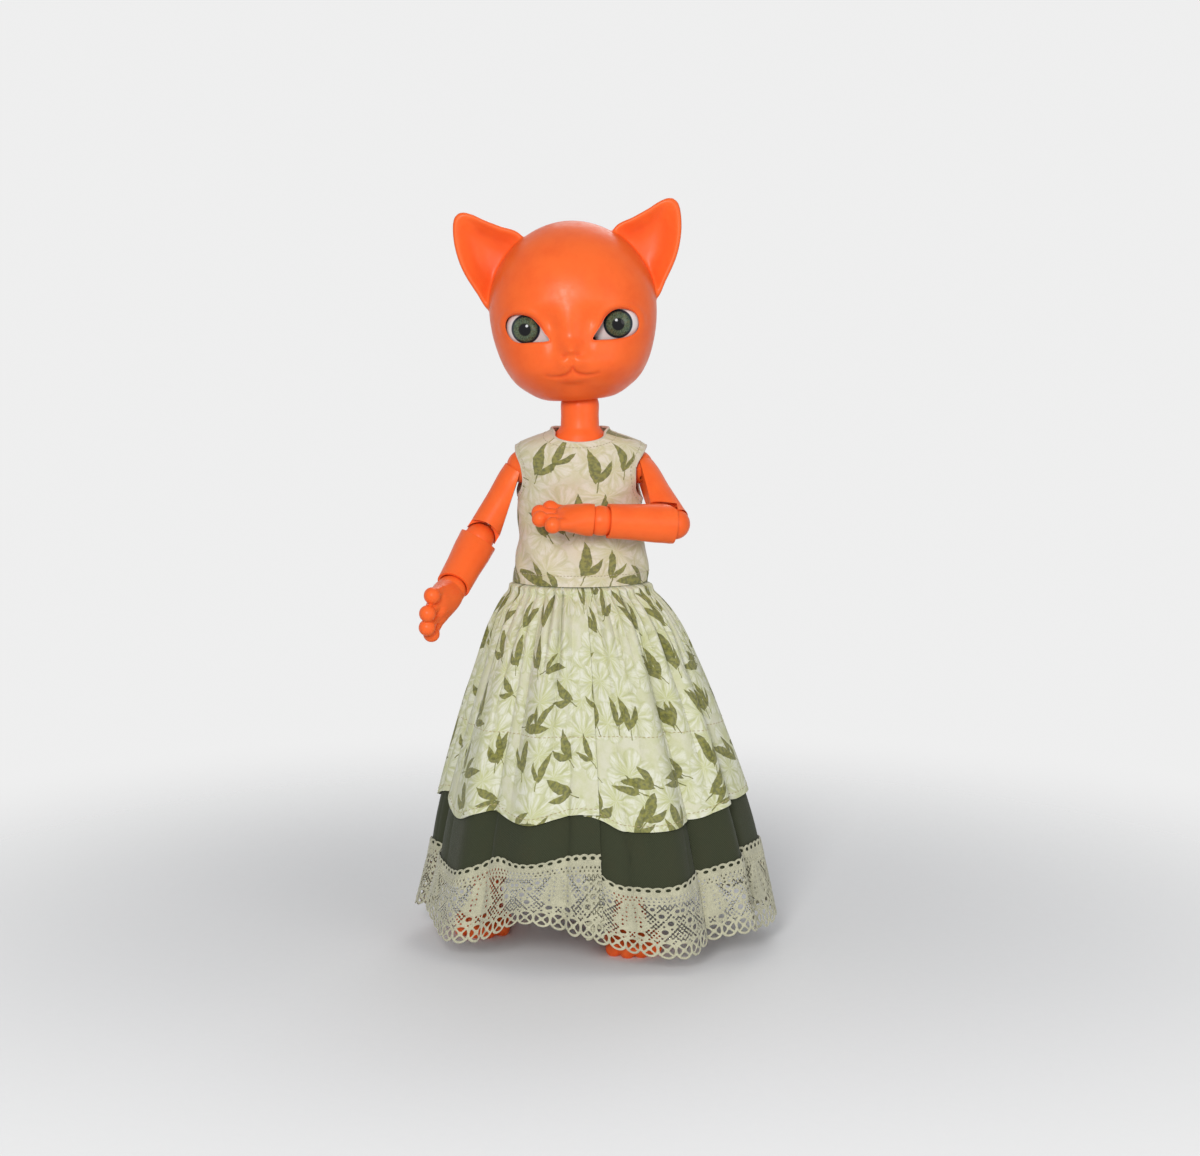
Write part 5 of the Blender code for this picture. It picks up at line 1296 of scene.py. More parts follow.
def blossoms(sheet, moved, colour, petal):
    """Lay soft round blossoms over a printed ground."""
    for offset, size, lobe_count in BLOSSOMS:
        away, chance = sheet.cells(sheet.vector("ADD", moved, offset), BLOSSOM_SPACING, 0.7)
        parts = sheet.parts(away)
        turn = sheet.math("ADD", sheet.math("ARCTAN2", parts[1], parts[0]),
                          sheet.math("MULTIPLY", chance[0], 6.3))
        lobes = sheet.math("ABSOLUTE", sheet.math("COSINE", sheet.math("MULTIPLY", turn, lobe_count)))
        edge = sheet.math("MULTIPLY_ADD", sheet.math("POWER", lobes, 0.55), size * 0.30, size * 0.70)
        reach = sheet.math("DIVIDE", sheet.vector("LENGTH", away), edge)
        inside = sheet.ramp(reach, 0.93, 1.03, 1.0, 0.0)
        spokes = sheet.node("CombineXYZ", X=sheet.math("COSINE", turn), Y=sheet.math("SINE", turn),
                            Z=sheet.math("MULTIPLY", reach, 0.35)).outputs[0]
        veins = sheet.noise(spokes, 4.0, 3.0, 0.6)
        cream = sheet.mix(sheet.ramp(veins, 0.34, 0.62), (0.56, 0.57, 0.33, 1), (0.74, 0.74, 0.62, 1))
        colour = sheet.mix(sheet.math("MULTIPLY", inside, 0.94), colour, cream)
        hollow = sheet.math("MULTIPLY", sheet.ramp(reach, 0.85, 0.10, 0.0, 0.90),
                            sheet.ramp(veins, 0.28, 0.66, 1.0, 0.30))
        colour = sheet.mix(sheet.math("MULTIPLY", inside, hollow), colour, petal)
        outer = sheet.math("MULTIPLY", inside, sheet.ramp(reach, 0.15, 0.5))
        fold = sheet.math("MULTIPLY", sheet.ramp(lobes, 0.0, 0.55, 0.60, 0.0), outer)
        colour = sheet.mix(fold, colour, tinted(petal, 0.82))
        rim = sheet.math("MULTIPLY", sheet.ramp(reach, 0.86, 1.0), sheet.math("MULTIPLY", inside, 0.55))
        colour = sheet.mix(rim, colour, tinted(petal, 0.90))
    return colour


def leaf_pairs(sheet, flat, moved, colour):
    """Lay pairs of lance leaves, each on a thin stem, over a printed cloth."""
    for offset, spacing, long, wide in LEAF_PAIRS:
        away, chance = sheet.cells(sheet.vector("ADD", moved, offset), spacing, 0.5)
        lean = sheet.math("MULTIPLY", sheet.math("SUBTRACT", chance[1], 0.5), 2.6)
        rooted = sheet.vector("ADD", sheet.turned(away, lean), (0, long * 0.85, 0))
        parts = sheet.parts(rooted)
        bow = sheet.math("MULTIPLY_ADD", parts[1], 0.06, parts[0])
        stem = sheet.math("SUBTRACT", 0.22, sheet.math("ABSOLUTE", bow))
        along = sheet.math("ABSOLUTE", sheet.math("ADD", parts[1], 0.4))
        mask = sheet.math("MULTIPLY", sheet.ramp(stem, -0.02, 0.10),
                          sheet.ramp(along, long * 0.42, long * 0.46, 1.0, 0.0))
        for swing, share in LEAF_SWINGS:
            parts = sheet.parts(sheet.turned(rooted, swing))
            along = sheet.math("SUBTRACT", sheet.math("DIVIDE", parts[1], long * share), 1.0)
            squared = sheet.math("MULTIPLY", along, along)
            girth = sheet.math("MULTIPLY", sheet.math("SUBTRACT", 1.0, squared),
                               sheet.math("MULTIPLY_ADD", along, -0.25 * wide * share, wide * share))
            bent = sheet.math("ADD", parts[0], sheet.math("MULTIPLY", squared, 0.5 * wide))
            inner = sheet.math("SUBTRACT", girth, sheet.math("ABSOLUTE", bent))
            mask = sheet.math("MAXIMUM", mask, sheet.ramp(inner, -0.04, 0.10))
        green = sheet.mix(sheet.ramp(sheet.noise(flat, 0.8, 3.0), 0.38, 0.62), tuple(colours().leaf),
                          (0.22, 0.215, 0.035, 1))
        shown = sheet.math("MULTIPLY", mask, sheet.ramp(chance[2], 0.10, 0.12))
        colour = sheet.mix(sheet.math("MULTIPLY", shown, 0.93), colour, green)
    return colour


def print_finish(name, painted_orange_light=0.0):
    """Printed cotton: soft round blossoms with pairs of lance leaves on a pale ground, in a plain weave."""
    sheet = NodeSheet(name)
    flat = sheet.flat()
    wobble = sheet.node("TexNoise", {"noise_dimensions": "2D"}, Vector=flat, Scale=0.35,
                        Detail=2.0).outputs["Color"]
    centred = sheet.vector("SUBTRACT", wobble, (0.5, 0.5, 0.5))
    moved = sheet.vector("ADD", flat, sheet.vector("SCALE", centred, scale=0.9))
    petal, cloth = tuple(colours().blossom), tuple(colours().cloth)
    ground = tuple(0.5 * (one + two) for one, two in zip(petal[:3], cloth)) + (1,)
    colour = sheet.mix(sheet.ramp(sheet.noise(flat, 0.16, 3.0, 0.6), 0.35, 0.66), ground, cloth)
    colour = blossoms(sheet, moved, colour, petal)
    # Painted light: a warmer tint on the print under its leaves, for orange light reflected from the doll's vinyl
    if painted_orange_light:
        colour = sheet.mix(painted_orange_light, colour, (0.66, 0.50, 0.40, 1))
    colour = leaf_pairs(sheet, flat, moved, colour)
    # Painted shade in the crossings of the plain weave, with the darker tone of uneven slubs
    warp, weft = (sheet.math("SINE", sheet.math("MULTIPLY", part, 2 * math.pi / WEAVE_PITCH))
                  for part in sheet.parts(flat)[:2])
    weave = sheet.math("MULTIPLY", warp, weft)
    slubs = sheet.noise(flat, 2.4, 3.0, 0.7)
    weave_shade_and_slub_tone = sheet.math("MULTIPLY_ADD", weave, 0.05, sheet.ramp(slubs, 0.3, 0.7, 0.0, 0.12))
    colour = sheet.mix(weave_shade_and_slub_tone, colour, (0.36, 0.33, 0.22, 1))
    sheet.set(Base_Color=colour, Roughness=sheet.ramp(slubs, 0.3, 0.7, 0.82, 0.95),
              Normal=sheet.bump(sheet.math("MULTIPLY_ADD", weave, 0.5, slubs), 0.35, 0.00012))
    sheet.set(Sheen_Weight=0.15, Sheen_Roughness=0.5)
    return sheet.material


def twill_finish():
    """Dark olive twill with fine diagonal ribs and lighter flecks."""
    sheet = NodeSheet("olive_twill")
    flat = sheet.flat()
    parts = sheet.parts(flat)
    slant = sheet.math("MULTIPLY_ADD", parts[1], 0.8, parts[0])
    ribs = sheet.math("SINE", sheet.math("MULTIPLY", slant, 2 * math.pi / TWILL_PITCH))
    cross = sheet.math("SINE", sheet.math("MULTIPLY", parts[0], 2 * math.pi / TWILL_CROSS_PITCH))
    flecks = sheet.noise(flat, 3.2, 3.0, 0.75)
    wear = sheet.noise(flat, 0.12, 3.0)
    dark = tuple(colours().twill)
    weave = sheet.math("MULTIPLY_ADD", cross, 0.25, sheet.math("MULTIPLY", ribs, 0.5))
    # Painted light and shade of the ribs: lighter along their crests and darker in the grooves, with lighter flecks of
    # yarn
    colour = sheet.mix(sheet.ramp(sheet.math("ADD", weave, flecks), 0.1, 1.2), dark, tinted(dark, 1.9))
    colour = sheet.mix(sheet.ramp(wear, 0.4, 0.7, 0.0, 0.25), colour, (0.036, 0.034, 0.012, 1))
    sheet.set(Base_Color=colour, Roughness=sheet.ramp(flecks, 0.3, 0.7, 0.85, 0.97),
              Normal=sheet.bump(weave, 0.5, 0.00012))
    sheet.set(Sheen_Weight=0.06, Sheen_Roughness=0.4)
    return sheet.material


def thread_finish(name, colour):
    """Spun cotton thread with fine fuzz and an uneven tone."""
    sheet = NodeSheet(name)
    place = sheet.place()
    fuzz = sheet.noise(place, 3400.0, 3.0, 0.7)
    tone = sheet.noise(place, 160.0, 3.0)
    base = sheet.mix(sheet.ramp(fuzz, 0.35, 0.65), tinted(colour, 0.62), colour)
    base = sheet.mix(sheet.ramp(tone, 0.4, 0.7, 0.0, 0.4), base, tinted(colour, 1.15))
    sheet.set(Base_Color=base, Roughness=sheet.ramp(fuzz, 0.3, 0.7, 0.75, 0.95),
              Normal=sheet.bump(fuzz, 0.9, 0.00015), Sheen_Weight=0.3)
    return sheet.material


def bodice_place(turn, high, out=0.0):
    """World place on the bodice, from a turn about the body's axis and a share of its height."""
    wide, deep = np.moveaxis(eased(BODICE_SHARES, high), -1, 0)
    base = SEAM_Z + BALL_GAP
    top = joint_place("shoulder_swing_left").z + BODICE_TOP
    x, y = np.cos(turn), np.sin(turn)
    low = smooth_step(high, 0.0, 0.06) * (1 - smooth_step(high, 0.10, 0.34))
    middle = smooth_step(high, 0.12, 0.40) * (1 - smooth_step(high, 0.55, 0.85))
    crease = (0.00045 * np.sin(turn * 9 + high * 17) * low
              + 0.00055 * np.sin(turn * 5 - high * 21 + 1.0) * middle
              + 0.0004 * np.sin(turn * 3 + high * 9))
    out = out + crease
    return np.stack([BODY_X + x * (BODICE_HALF_WIDTH * wide + out), y * (BODICE_HALF_DEPTH * deep + out),
                     base + (top - base) * high], -1)


def neckline(turn):
    """Share of the bodice's height at its neckline, lowest in front."""
    front = np.clip(-np.sin(turn), 0, 1) ** 3
    back = np.clip(np.sin(turn), 0, 1) ** 4
    return 1.032 - 0.085 * front - 0.02 * back


def tube(name, places, radius, sides=10):
    """A round cord of cloth along a closed line of places."""
    way = np.roll(places, -1, axis=0) - np.roll(places, 1, axis=0)
    way /= np.linalg.norm(way, axis=1, keepdims=True)
    hint = np.cross(way, (0.13, 0.21, 0.97))
    hint /= np.linalg.norm(hint, axis=1, keepdims=True)
    other = np.cross(way, hint)
    turns = np.arange(sides) * 2 * np.pi / sides
    grid = (places[:, None] + radius * (np.cos(turns)[None, :, None] * hint[:, None]
                                        + np.sin(turns)[None, :, None] * other[:, None]))
    thing = surface(name, np.concatenate([grid, grid[:1]]), around=True)
    shape = bmesh.new()
    shape.from_mesh(thing.data)
    bmesh.ops.remove_doubles(shape, verts=shape.verts, dist=radius * 0.01)
    shape.to_mesh(thing.data)
    shape.free()
    outwards(thing.data)
    return thing


def make_bodice():
    """Sleeveless bodice with neckline, armholes, topstitching and the placket at its back."""
    # The bodice's print gets painted orange light reflected from the vinyl
    cloth = print_finish("printed_bodice", 0.30)
    turn = np.linspace(0, 2 * np.pi, 181)[:-1] + np.pi / 2
    down = np.linspace(0, 1, 70)
    high = down[:, None] * neckline(turn)[None, :]
    turns = np.broadcast_to(turn, high.shape)
    grid = bodice_place(turns, high)
    flat = np.stack([(turns - np.pi / 2) * BODICE_FLAT_RADIUS + BODICE_FLAT_CORNER[0],
                     high * BODICE_FLAT_HEIGHT + BODICE_FLAT_CORNER[1]], -1)
    shell = surface("dress_bodice", grid, around=True, flat=flat)
    thicken(shell, CLOTH)
    outwards(shell.data)
    shoulder_z = joint_place("shoulder_swing_left").z
    pieces, cutters = [], []
    thread = thread_finish("dress_thread", (0.50, 0.42, 0.27, 1))
    for side, sign in SIDES.items():
        drop, depth, tall = ARMHOLES[side]
        round_turn = np.arange(64) * 2 * np.pi / 64
        y = depth * np.cos(round_turn)
        z = shoulder_z - drop + tall * np.sin(round_turn)
        near, far = BODY_X + sign * ARMHOLE_START, BODY_X + sign * ARMHOLE_END
        cutter = surface(f"armhole_{side}", np.array([np.column_stack([np.full(64, x), y, z]) for x in (near, far)]),
                         around=True, caps=True)
        outwards(cutter.data)
        cutters.append(cutter)
        for grow, kind in ((1.0, "binding"), (STITCHED_EDGE, "stitches")):
            y_line = depth * grow * np.cos(round_turn)
            z_line = shoulder_z - drop + tall * grow * np.sin(round_turn)
            share = (z_line - SEAM_Z - BALL_GAP) / (shoulder_z + BODICE_TOP - SEAM_Z - BALL_GAP)
            deep = eased(BODICE_SHARES, share)[..., 1] * BODICE_HALF_DEPTH
            lean = np.arcsin(np.clip(y_line / deep, -0.97, 0.97))
            place = bodice_place(lean if sign > 0 else np.pi - lean, share,
                                 0.0 if kind == "stitches" else BINDING_INSET)
            if kind == "binding":
                pieces.append(tube(f"armhole_binding_{side}", place, BINDING_RADIUS))
            else:
                row = stitch_row(f"armhole_stitches_{side}", np.vstack([place, place[:1]]), 0.0,
                                 sizes().stitch_pitch, thread)
                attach(row, "chest")
    carve(shell, cutters)
    neck_turn = np.arange(140) * 2 * np.pi / 140
    pieces.append(tube("neck_binding", bodice_place(neck_turn, neckline(neck_turn), BINDING_INSET),
                       BINDING_RADIUS))
    for binding in pieces:
        binding_cloth = plain_finish("binding_cloth_" + binding.name, (0.66, 0.60, 0.47, 1), 0.85, sheen=0.2)
        finish_piece(binding, "chest", binding_cloth, (), 80)
    line_turn = np.linspace(np.pi / 2 + 0.12, 2 * np.pi + np.pi / 2 - 0.12, 400)
    pitch = sizes().stitch_pitch * 0.85
    row = stitch_row("neck_stitches", bodice_place(line_turn, neckline(line_turn) - 0.030), 0.4, pitch, thread)
    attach(row, "chest")
    blend_waist(stitch_row("waist_stitches", bodice_place(line_turn, np.full(400, 0.072)), 0.0, pitch, thread))
    finish_piece(shell, None, cloth, ["bodice"], 70)
    blend_waist(shell)
    make_placket(cloth, thread)


def make_placket(cloth, thread):
    """The lapped strip that closes the bodice at its back, with its stitches."""
    high = np.linspace(0.03, 0.97, 50)
    across = np.linspace(-PLACKET_HALF_WIDTH, PLACKET_HALF_WIDTH, 12)
    grid = np.empty((len(high), len(across), 3))
    flat = np.empty((len(high), len(across), 2))
    for column, shift in enumerate(across):
        turn = np.pi / 2 - shift / BACK_RADIUS
        lift = PLACKET_LIFT - 0.0004 * abs(shift / PLACKET_HALF_WIDTH) ** 4
        grid[:, column] = bodice_place(np.full(len(high), turn), high, lift)
        flat[:, column] = np.column_stack([np.full(len(high), 90 + shift / MM), high * BODICE_FLAT_HEIGHT])
    strip = surface("dress_placket", grid, flat=flat)
    thicken(strip, PLACKET_THICKNESS)
    outwards(strip.data)
    finish_piece(strip, None, cloth, ["back_closure"], 60)
    blend_waist(strip)
    for side, shift in (("left", -PLACKET_STITCH_SHIFT), ("right", PLACKET_STITCH_SHIFT)):
        turn = np.full(60, np.pi / 2 - shift / BACK_RADIUS)
        place = bodice_place(turn, np.linspace(0.05, 0.95, 60), PLACKET_LIFT)
        blend_waist(stitch_row(f"placket_stitches_{side}", place, 0.0, sizes().stitch_pitch, thread))
    return strip


def make_skirts():
    """Printed overskirt, olive underskirt, their stitching, and the lace trim."""
    cloth, twill = print_finish("printed_skirt"), twill_finish()
    thread = thread_finish("hem_thread", (0.50, 0.40, 0.20, 1))
    lace = thread_finish("lace_cotton", tuple(colours().lace))
    for side in SIDES:
        over = skirt_layer("dress_overskirt", side, 0.0, OVERSKIRT_HEM, 0.0, 620, 110)
        finish_skirt(over, cloth, [f"overskirt_{side}"])
        angle = np.linspace(FRONT_LAP + 0.5, BACK_EDGE - 0.5, 900)
        for name, height in (("hem_stitches", edge_height(OVERSKIRT_HEM, side, angle) + HEM_STITCH_HEIGHT),
                             ("joining_stitches", np.full(angle.shape, JOINING_HEIGHT))):
            place = skirt_places(side, angle, height, 0.0)
            row = stitch_row(f"{name}_{side}", place, 0.3, sizes().stitch_pitch * 1.15, thread)
            blend_skirt(row)
        under = skirt_layer("dress_underskirt", side, LAYER_SPACING, LACE_TOP, LACE_OVERLAP, 420, 90)
        finish_skirt(under, twill, [f"underskirt_{side}"])
        trim = make_lace(side, lace)


def blend_waist(thing):
    """Bake the place of a piece at the waist into its mesh."""
    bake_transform(thing)


def blend_skirt(thing):
    """Bake the place of a skirt piece into its mesh."""
    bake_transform(thing)
    return thing


def finish_skirt(thing, material, replaced):
    """Shade a skirt piece, give it its finish, hide the nodes it replaces, and bake its place."""
    shade(thing, 70)
    thing.data.materials.clear()
    thing.data.materials.append(material)
    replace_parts(thing, *replaced)
    return blend_skirt(thing)


# Lace, drawn flat in millimetres: along the trim, and down from its upper edge

def lace_tile(width, height, cell):
    """How far inside the threads each place of one repeat lies, in millimetres."""
    across = np.arange(0, round(width / cell)) * cell
    down = np.arange(0, round(height / cell) + 1) * cell
    x, y = np.meshgrid(across, down)

    def ring(cx, cy, rx, ry, thread):
        away = np.hypot((x - cx) / rx, (y - cy) / ry)
        return thread - np.abs(away - 1) * min(rx, ry)

    def hole(cx, cy, rx, ry, lean=0.0):
        dx = (x - cx) * math.cos(lean) + (y - cy) * math.sin(lean)
        dy = (y - cy) * math.cos(lean) - (x - cx) * math.sin(lean)
        return (np.hypot(dx / rx, dy / ry) - 1) * min(rx, ry)

    def line(x0, y0, x1, y1, thread):
        run_x, run_y = x1 - x0, y1 - y0
        share = np.clip(((x - x0) * run_x + (y - y0) * run_y) / (run_x ** 2 + run_y ** 2), 0, 1)
        return thread - np.hypot(x - x0 - share * run_x, y - y0 - share * run_y)

    middle = width / 2
    scallop = width / 6
    pitch = width / 20
    diamonds = []
    for sign in (1, -1):
        phase = (x + sign * (y - 5.2) * 0.92) / pitch
        diamonds.append(0.20 - np.abs(phase - np.round(phase)) * pitch * 0.735)
    net = np.maximum(*diamonds)
    net = np.minimum(net, np.minimum(y - 5.0, 20.3 - y))
    solid = np.minimum(y - 1.75, 5.6 - y)
    for number in range(20):
        solid = np.minimum(solid, hole((number + 0.5) * width / 20, 3.75, 0.24, 0.42))
        solid = np.minimum(solid, hole(number * width / 20, 4.85, 0.30, 0.36))
    eyelets = np.full(x.shape, -9.0)
    for number in range(11):
        eyelets = np.maximum(eyelets, ring(number * width / 10, 1.15, 1.32, 0.85, 0.34))
    field = np.maximum(np.maximum(net, solid), eyelets)
    depth_share = np.clip((y - 5.2) / 10.4, 0, 1)
    wedge = np.minimum(1.9 + 5.9 * depth_share - np.abs(x - middle), 15.2 + 0.9 * np.cos((x - middle) * 0.55) - y)
    wedge = np.minimum(wedge, y - 5.0)
    for sign in (-1, 1):
        for rung in range(6):
            share = rung / 5
            wedge = np.minimum(wedge, hole(middle + sign * (1.15 + 1.55 * share), 6.5 + 7.3 * share, 0.55 + 0.58 * share,
                                           0.40 + 0.12 * share, -sign * 0.15))
        for rung in range(4):
            share = rung / 3
            wedge = np.minimum(wedge, hole(middle + sign * (3.4 + 2.9 * share), 8.6 + 5.0 * share, 0.50 + 0.24 * share,
                                           0.44 + 0.14 * share, sign * 0.5))
    field = np.maximum(field, wedge)
    for sign in (-1, 1):
        for along, depth, rx, ry in ((6.6, 7.4, 0.72, 0.62), (9.0, 9.6, 0.86, 0.72), (11.4, 12.0, 0.90, 0.78),
                                     (13.6, 8.2, 0.72, 0.60), (9.6, 14.9, 0.95, 0.80), (2.9, 16.6, 1.0, 0.72)):
            field = np.maximum(field, ring(middle + sign * along, depth, rx + 0.34, ry + 0.34, 0.36))
            field = np.minimum(field, hole(middle + sign * along, depth, rx, ry))
    for number in range(7):
        centre = number * scallop
        inside = hole(centre, 20.9, 2.15, 2.25)
        field = np.where(inside < 0, np.minimum(field, inside), field)
        field = np.maximum(field, ring(centre, 20.9, 2.42, 2.55, 0.36))
        for lean in (0.785, 2.356):
            dx, dy = 2.3 * math.cos(lean), 2.4 * math.sin(lean)
            field = np.maximum(field, line(centre - dx, 20.9 - dy, centre + dx, 20.9 + dy, 0.30))
        field = np.maximum(field, 0.75 - np.hypot(x - centre, y - 20.9))
        for tuft in (-1.3, 0.0, 1.3):
            field = np.maximum(field, 0.30 - np.hypot(x - centre - tuft, y - 23.45 + 0.25 * tuft ** 2))
    rope = 0.27 - np.abs(y - 17.9 - 0.55 * np.cos(2 * np.pi * x / scallop))
    return np.maximum(field, rope)


def make_lace(side, material):
    """One half of the lace trim as a continuous web of threads with real openings."""
    cell = 0.25
    width, height = sizes().lace_repeat / MM, sizes().lace_height / MM
    tile = lace_tile(width, height, cell)
    repeats = sizes().hem_flat / MM / width
    columns = int(repeats * tile.shape[1])
    field = np.tile(tile, (1, math.ceil(repeats) + 1))[:, :columns + 1]
    rows = field.shape[0]
    u, v = np.meshgrid(np.arange(columns + 1) * cell, np.arange(rows) * cell)
    grad_v, grad_u = np.gradient(field, cell)
    steep = np.maximum(grad_u ** 2 + grad_v ** 2, 0.05)
    centre = (field[:-1, :-1] + field[1:, :-1] + field[:-1, 1:] + field[1:, 1:]) / 4
    keep = centre > 0
    padded_keep = np.pad(keep, 1)
    touching = (padded_keep[:-1, :-1].astype(int) + padded_keep[1:, :-1] + padded_keep[:-1, 1:]
                + padded_keep[1:, 1:])
    rim = (touching > 0) & (touching < 4)
    shift_u = np.clip(-field * grad_u / steep, -0.48 * cell, 0.48 * cell)
    shift_v = np.clip(-field * grad_v / steep, -0.48 * cell, 0.48 * cell)
    u = np.where(rim, u + shift_u, u)
    v = np.where(rim, v + shift_v, v)
    swell = np.where(rim, 0.0, np.sqrt(np.clip(field, 0.0, 0.30) / 0.30)) * sizes().lace_thread
    share = np.clip(u / (sizes().hem_flat / MM), 0, 1)
    angle = FRONT_LAP + (BACK_EDGE - FRONT_LAP) * share
    top, bottom = edge_height(LACE_TOP, side, angle), edge_height(LACE_BOTTOM, side, angle)
    height_at = top + (bottom - top) * v / height
    skin = skirt_places(side, angle, height_at, LAYER_SPACING - 0.0006)
    out = skin - np.array([BODY_X, 0, 0])
    out[..., 2] = 0
    out /= np.linalg.norm(out, axis=-1, keepdims=True)
    used = touching > 0
    index = np.full(used.shape, -1)
    index[used] = np.arange(used.sum())
    front = (skin + out * swell[..., None])[used]
    rear = (skin - out * swell[..., None])[used]
    rim_used = rim[used]
    total = len(front)
    rear_index = np.where(rim_used, np.arange(total), total + np.cumsum(~rim_used) - 1)
    rear = rear[~rim_used]
    cells = np.argwhere(keep)
    a, b = index[cells[:, 0], cells[:, 1]], index[cells[:, 0], cells[:, 1] + 1]
    c, d = index[cells[:, 0] + 1, cells[:, 1] + 1], index[cells[:, 0] + 1, cells[:, 1]]
    faces = np.stack([a, b, c, d], -1)
    behind = rear_index[faces[:, ::-1]]
    inner = ~(rim_used[faces].all(axis=1))
    if side == "left":
        faces, behind = faces[:, ::-1], behind[:, ::-1]
    mesh = bpy.data.meshes.new(f"dress_lace_{side}")
    mesh.from_pydata(np.vstack([front, rear]).tolist(), [], np.vstack([faces, behind[inner]]).tolist())
    trim = link(f"dress_lace_{side}", mesh)
    return finish_skirt(trim, material, [f"lace_{side}"])


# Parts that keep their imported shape

def dress_cad_parts():
    """Give the hooks, cords, putty, magnets and pelvis their finishes."""
    finishes = {"steel": plain_finish("hook_steel", (0.56, 0.56, 0.55, 1), 0.28, 1.0, 1400.0),
                "cord": elastic_finish(), "vinyl": vinyl_finish("vinyl_kept_parts"),
                "putty": plain_finish("eye_putty", (0.62, 0.58, 0.50, 1), 0.75, 0.0, 500.0)}
    hidden = {name for thing in bpy.data.objects for name in (thing.get("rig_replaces") or [])}
    for node in frame["nodes"]:
        name = node if isinstance(node, str) else node["name"]
        thing = bpy.data.objects.get(name)
        if thing is None or name in hidden:
            continue
        kind = "vinyl"
        for word, chosen in (("hook", "steel"), ("magnet", "steel"), ("cord", "cord"), ("putty", "putty")):
            if word in name:
                kind = chosen
        for place in thing.material_slots:
            place.material = finishes[kind]


# Stage

# Place, size in metres and power of each lamp
LAMPS = (("key_lamp", (-0.14, -0.92, 0.44), 0.26, 5.9), ("fill_lamp", (0.55, -0.70, 0.30), 0.6, 1.7),
         ("back_lamp", (0.15, 0.80, 0.75), 0.6, 1.6))


def make_stage():
    """Pale floor that fades into the backdrop, soft lamps, world and camera."""
    scene = bpy.context.scene
    mesh = bpy.data.meshes.new("stage_floor")
    shape = bmesh.new()
    bmesh.ops.create_circle(shape, cap_ends=True, segments=96, radius=1.6)
    shape.to_mesh(mesh)
    shape.free()
    floor = link("stage_floor", mesh)
    sheet = NodeSheet("stage_paper")
    place = sheet.place()
    grain = sheet.noise(place, 300.0, 4.0)
    pale = tuple(colours().floor)
    sheet.set(Base_Color=sheet.mix(sheet.ramp(grain, 0.3, 0.7, 0.0, 0.25), pale, tinted(pale, 0.97)),
              Roughness=0.9, Alpha=sheet.ramp(sheet.vector("LENGTH", place), 0.09, 0.36, 1.0, 0.0))
    mesh.materials.append(sheet.material)
    world = bpy.data.worlds.new("studio") if scene.world is None else scene.world
    scene.world = world
    world.use_nodes = True
    tree = world.node_tree
    tree.nodes.clear()
    path = tree.nodes.new("ShaderNodeLightPath")
    seen = path.outputs["Is Camera Ray"]
    for other in ("Is Glossy Ray", "Is Transmission Ray"):
        either = tree.nodes.new("ShaderNodeMath")
        either.operation = "MAXIMUM"
        tree.links.new(seen, either.inputs[0])
        tree.links.new(path.outputs[other], either.inputs[1])
        seen = either.outputs[0]
    soft, white = tree.nodes.new("ShaderNodeBackground"), tree.nodes.new("ShaderNodeBackground")
    soft.inputs["Color"].default_value = (0.93, 0.96, 1.0, 1)
    soft.inputs["Strength"].default_value = 0.34
    white.inputs["Color"].default_value = (0.86, 0.86, 0.86, 1)
    white.inputs["Strength"].default_value = 1.0
    blend = tree.nodes.new("ShaderNodeMixShader")
    out = tree.nodes.new("ShaderNodeOutputWorld")
    tree.links.new(seen, blend.inputs[0])
    tree.links.new(soft.outputs[0], blend.inputs[1])
    tree.links.new(white.outputs[0], blend.inputs[2])
    tree.links.new(blend.outputs[0], out.inputs["Surface"])
    for name, place, size, power in LAMPS:
        lamp = bpy.data.lights.new(name, "AREA")
        lamp.shape = "DISK"
        lamp.size = size
        lamp.energy = power
        thing = bpy.data.objects.new(name, lamp)
        scene.collection.objects.link(thing)
        thing.location = place
        thing.rotation_euler = (Vector((0, 0, 0.12)) - Vector(place)).to_track_quat("-Z", "Y").to_euler()
    camera = bpy.data.cameras.new("photo_camera")
    reach = 0.90
    camera.sensor_width = 36.0
    camera.lens = 36.0 * reach / (1200 * 0.000331)
    camera.clip_start = 0.01
    eye = bpy.data.objects.new("photo_camera", camera)
    scene.collection.objects.link(eye)
    tilt = math.radians(8.0)
    target = Vector((0.0011, 0, 0.1213))
    eye.location = target + Vector((0, -math.cos(tilt), math.sin(tilt))) * reach
    eye.rotation_euler = (target - eye.location).to_track_quat("-Z", "Y").to_euler()
    scene.camera = eye
    scene.view_settings.view_transform = "Standard"


class DOLL_OT_head(bpy.types.Operator):
    """Build the face shell with its ears and the removable head cap"""

    bl_idname = "cat_doll.head"
    bl_label = "Head"
    bl_options = {"REGISTER", "UNDO"}

    def execute(self, context):
        make_head()
        return {"FINISHED"}


class DOLL_OT_eyes(bpy.types.Operator):
    """Build the two glass eyes"""

    bl_idname = "cat_doll.eyes"
    bl_label = "Eyes"
    bl_options = {"REGISTER", "UNDO"}

    def execute(self, context):
        make_eyes()
        return {"FINISHED"}


class DOLL_OT_torso(bpy.types.Operator):
    """Build the chest with the neck and the waist ball"""

    bl_idname = "cat_doll.torso"
    bl_label = "Torso"
    bl_options = {"REGISTER", "UNDO"}

    def execute(self, context):
        make_torso()
        return {"FINISHED"}


class DOLL_OT_arms(bpy.types.Operator):
    """Build both arms with their balls and paws"""

    bl_idname = "cat_doll.arms"
    bl_label = "Arms"
    bl_options = {"REGISTER", "UNDO"}

    def execute(self, context):
        for side in SIDES:
            make_arm(side)
        return {"FINISHED"}


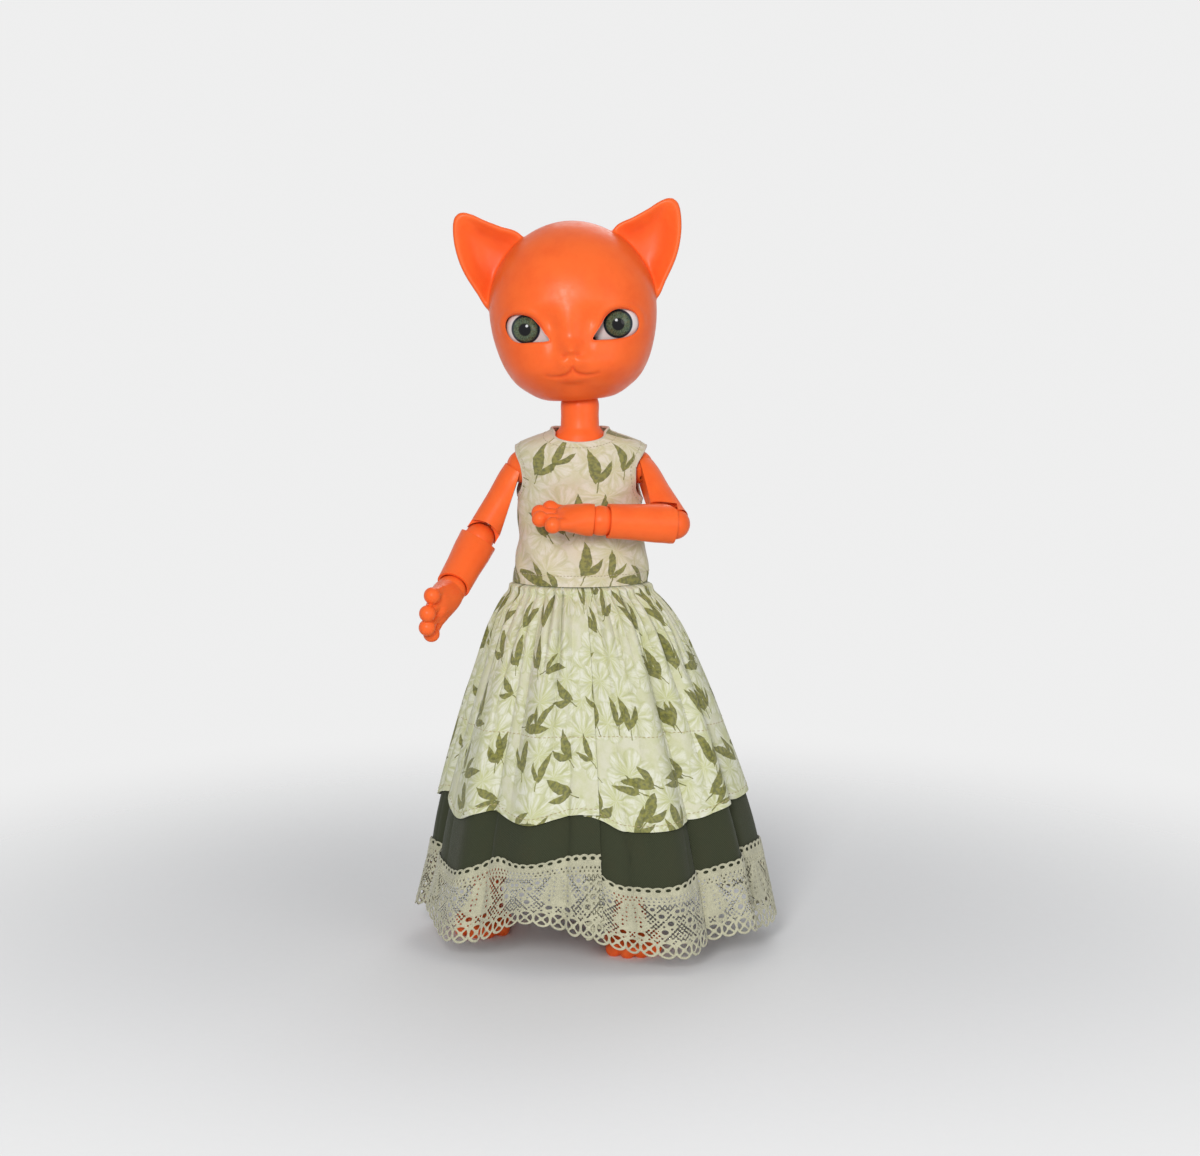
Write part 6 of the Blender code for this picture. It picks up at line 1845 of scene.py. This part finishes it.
class DOLL_OT_legs(bpy.types.Operator):
    """Build both legs with their balls and feet"""

    bl_idname = "cat_doll.legs"
    bl_label = "Legs"
    bl_options = {"REGISTER", "UNDO"}

    def execute(self, context):
        for side in SIDES:
            make_leg(side)
        return {"FINISHED"}


class DOLL_OT_bodice(bpy.types.Operator):
    """Sew the bodice with its bindings, stitches and placket"""

    bl_idname = "cat_doll.bodice"
    bl_label = "Bodice"
    bl_options = {"REGISTER", "UNDO"}

    def execute(self, context):
        make_bodice()
        return {"FINISHED"}


class DOLL_OT_skirts(bpy.types.Operator):
    """Sew the overskirt and the underskirt with its lace"""

    bl_idname = "cat_doll.skirts"
    bl_label = "Skirts and Lace"
    bl_options = {"REGISTER", "UNDO"}

    def execute(self, context):
        make_skirts()
        return {"FINISHED"}


class DOLL_OT_inner_parts(bpy.types.Operator):
    """Finish the hooks, cords, magnets, putty and pelvis"""

    bl_idname = "cat_doll.inner_parts"
    bl_label = "Inner Parts"
    bl_options = {"REGISTER", "UNDO"}

    def execute(self, context):
        dress_cad_parts()
        return {"FINISHED"}


class DOLL_OT_stage(bpy.types.Operator):
    """Set the floor, lamps, world and camera"""

    bl_idname = "cat_doll.stage"
    bl_label = "Stage"
    bl_options = {"REGISTER", "UNDO"}

    def execute(self, context):
        make_stage()
        return {"FINISHED"}


OPERATORS = (DOLL_OT_stage, DOLL_OT_head, DOLL_OT_eyes, DOLL_OT_torso, DOLL_OT_arms, DOLL_OT_legs,
             DOLL_OT_bodice, DOLL_OT_skirts, DOLL_OT_inner_parts)


class DOLL_PT_panel(bpy.types.Panel):
    """Steps and settings of the doll"""

    bl_idname = "DOLL_PT_panel"
    bl_label = "Cat Doll"
    bl_space_type = "VIEW_3D"
    bl_region_type = "UI"
    bl_category = "Cat Doll"

    def draw(self, context):
        for step in OPERATORS:
            self.layout.operator(step.bl_idname)
        for group in (sizes(), colours()):
            column = self.layout.column()
            for name in group.bl_rna.properties.keys():
                if name not in ("rna_type", "name"):
                    column.prop(group, name)


CLASSES = (DollSizes, DollColours) + OPERATORS + (DOLL_PT_panel,)


def register():
    for kind in CLASSES:
        bpy.utils.register_class(kind)
    bpy.types.Scene.cat_doll_sizes = PointerProperty(type=DollSizes)
    bpy.types.Scene.cat_doll_colours = PointerProperty(type=DollColours)


def unregister():
    del bpy.types.Scene.cat_doll_colours
    del bpy.types.Scene.cat_doll_sizes
    for kind in reversed(CLASSES):
        bpy.utils.unregister_class(kind)


def main():
    register()
    for step in OPERATORS:
        group, name = step.bl_idname.split(".")
        getattr(getattr(bpy.ops, group), name)()


if __name__ == "__main__":
    main()
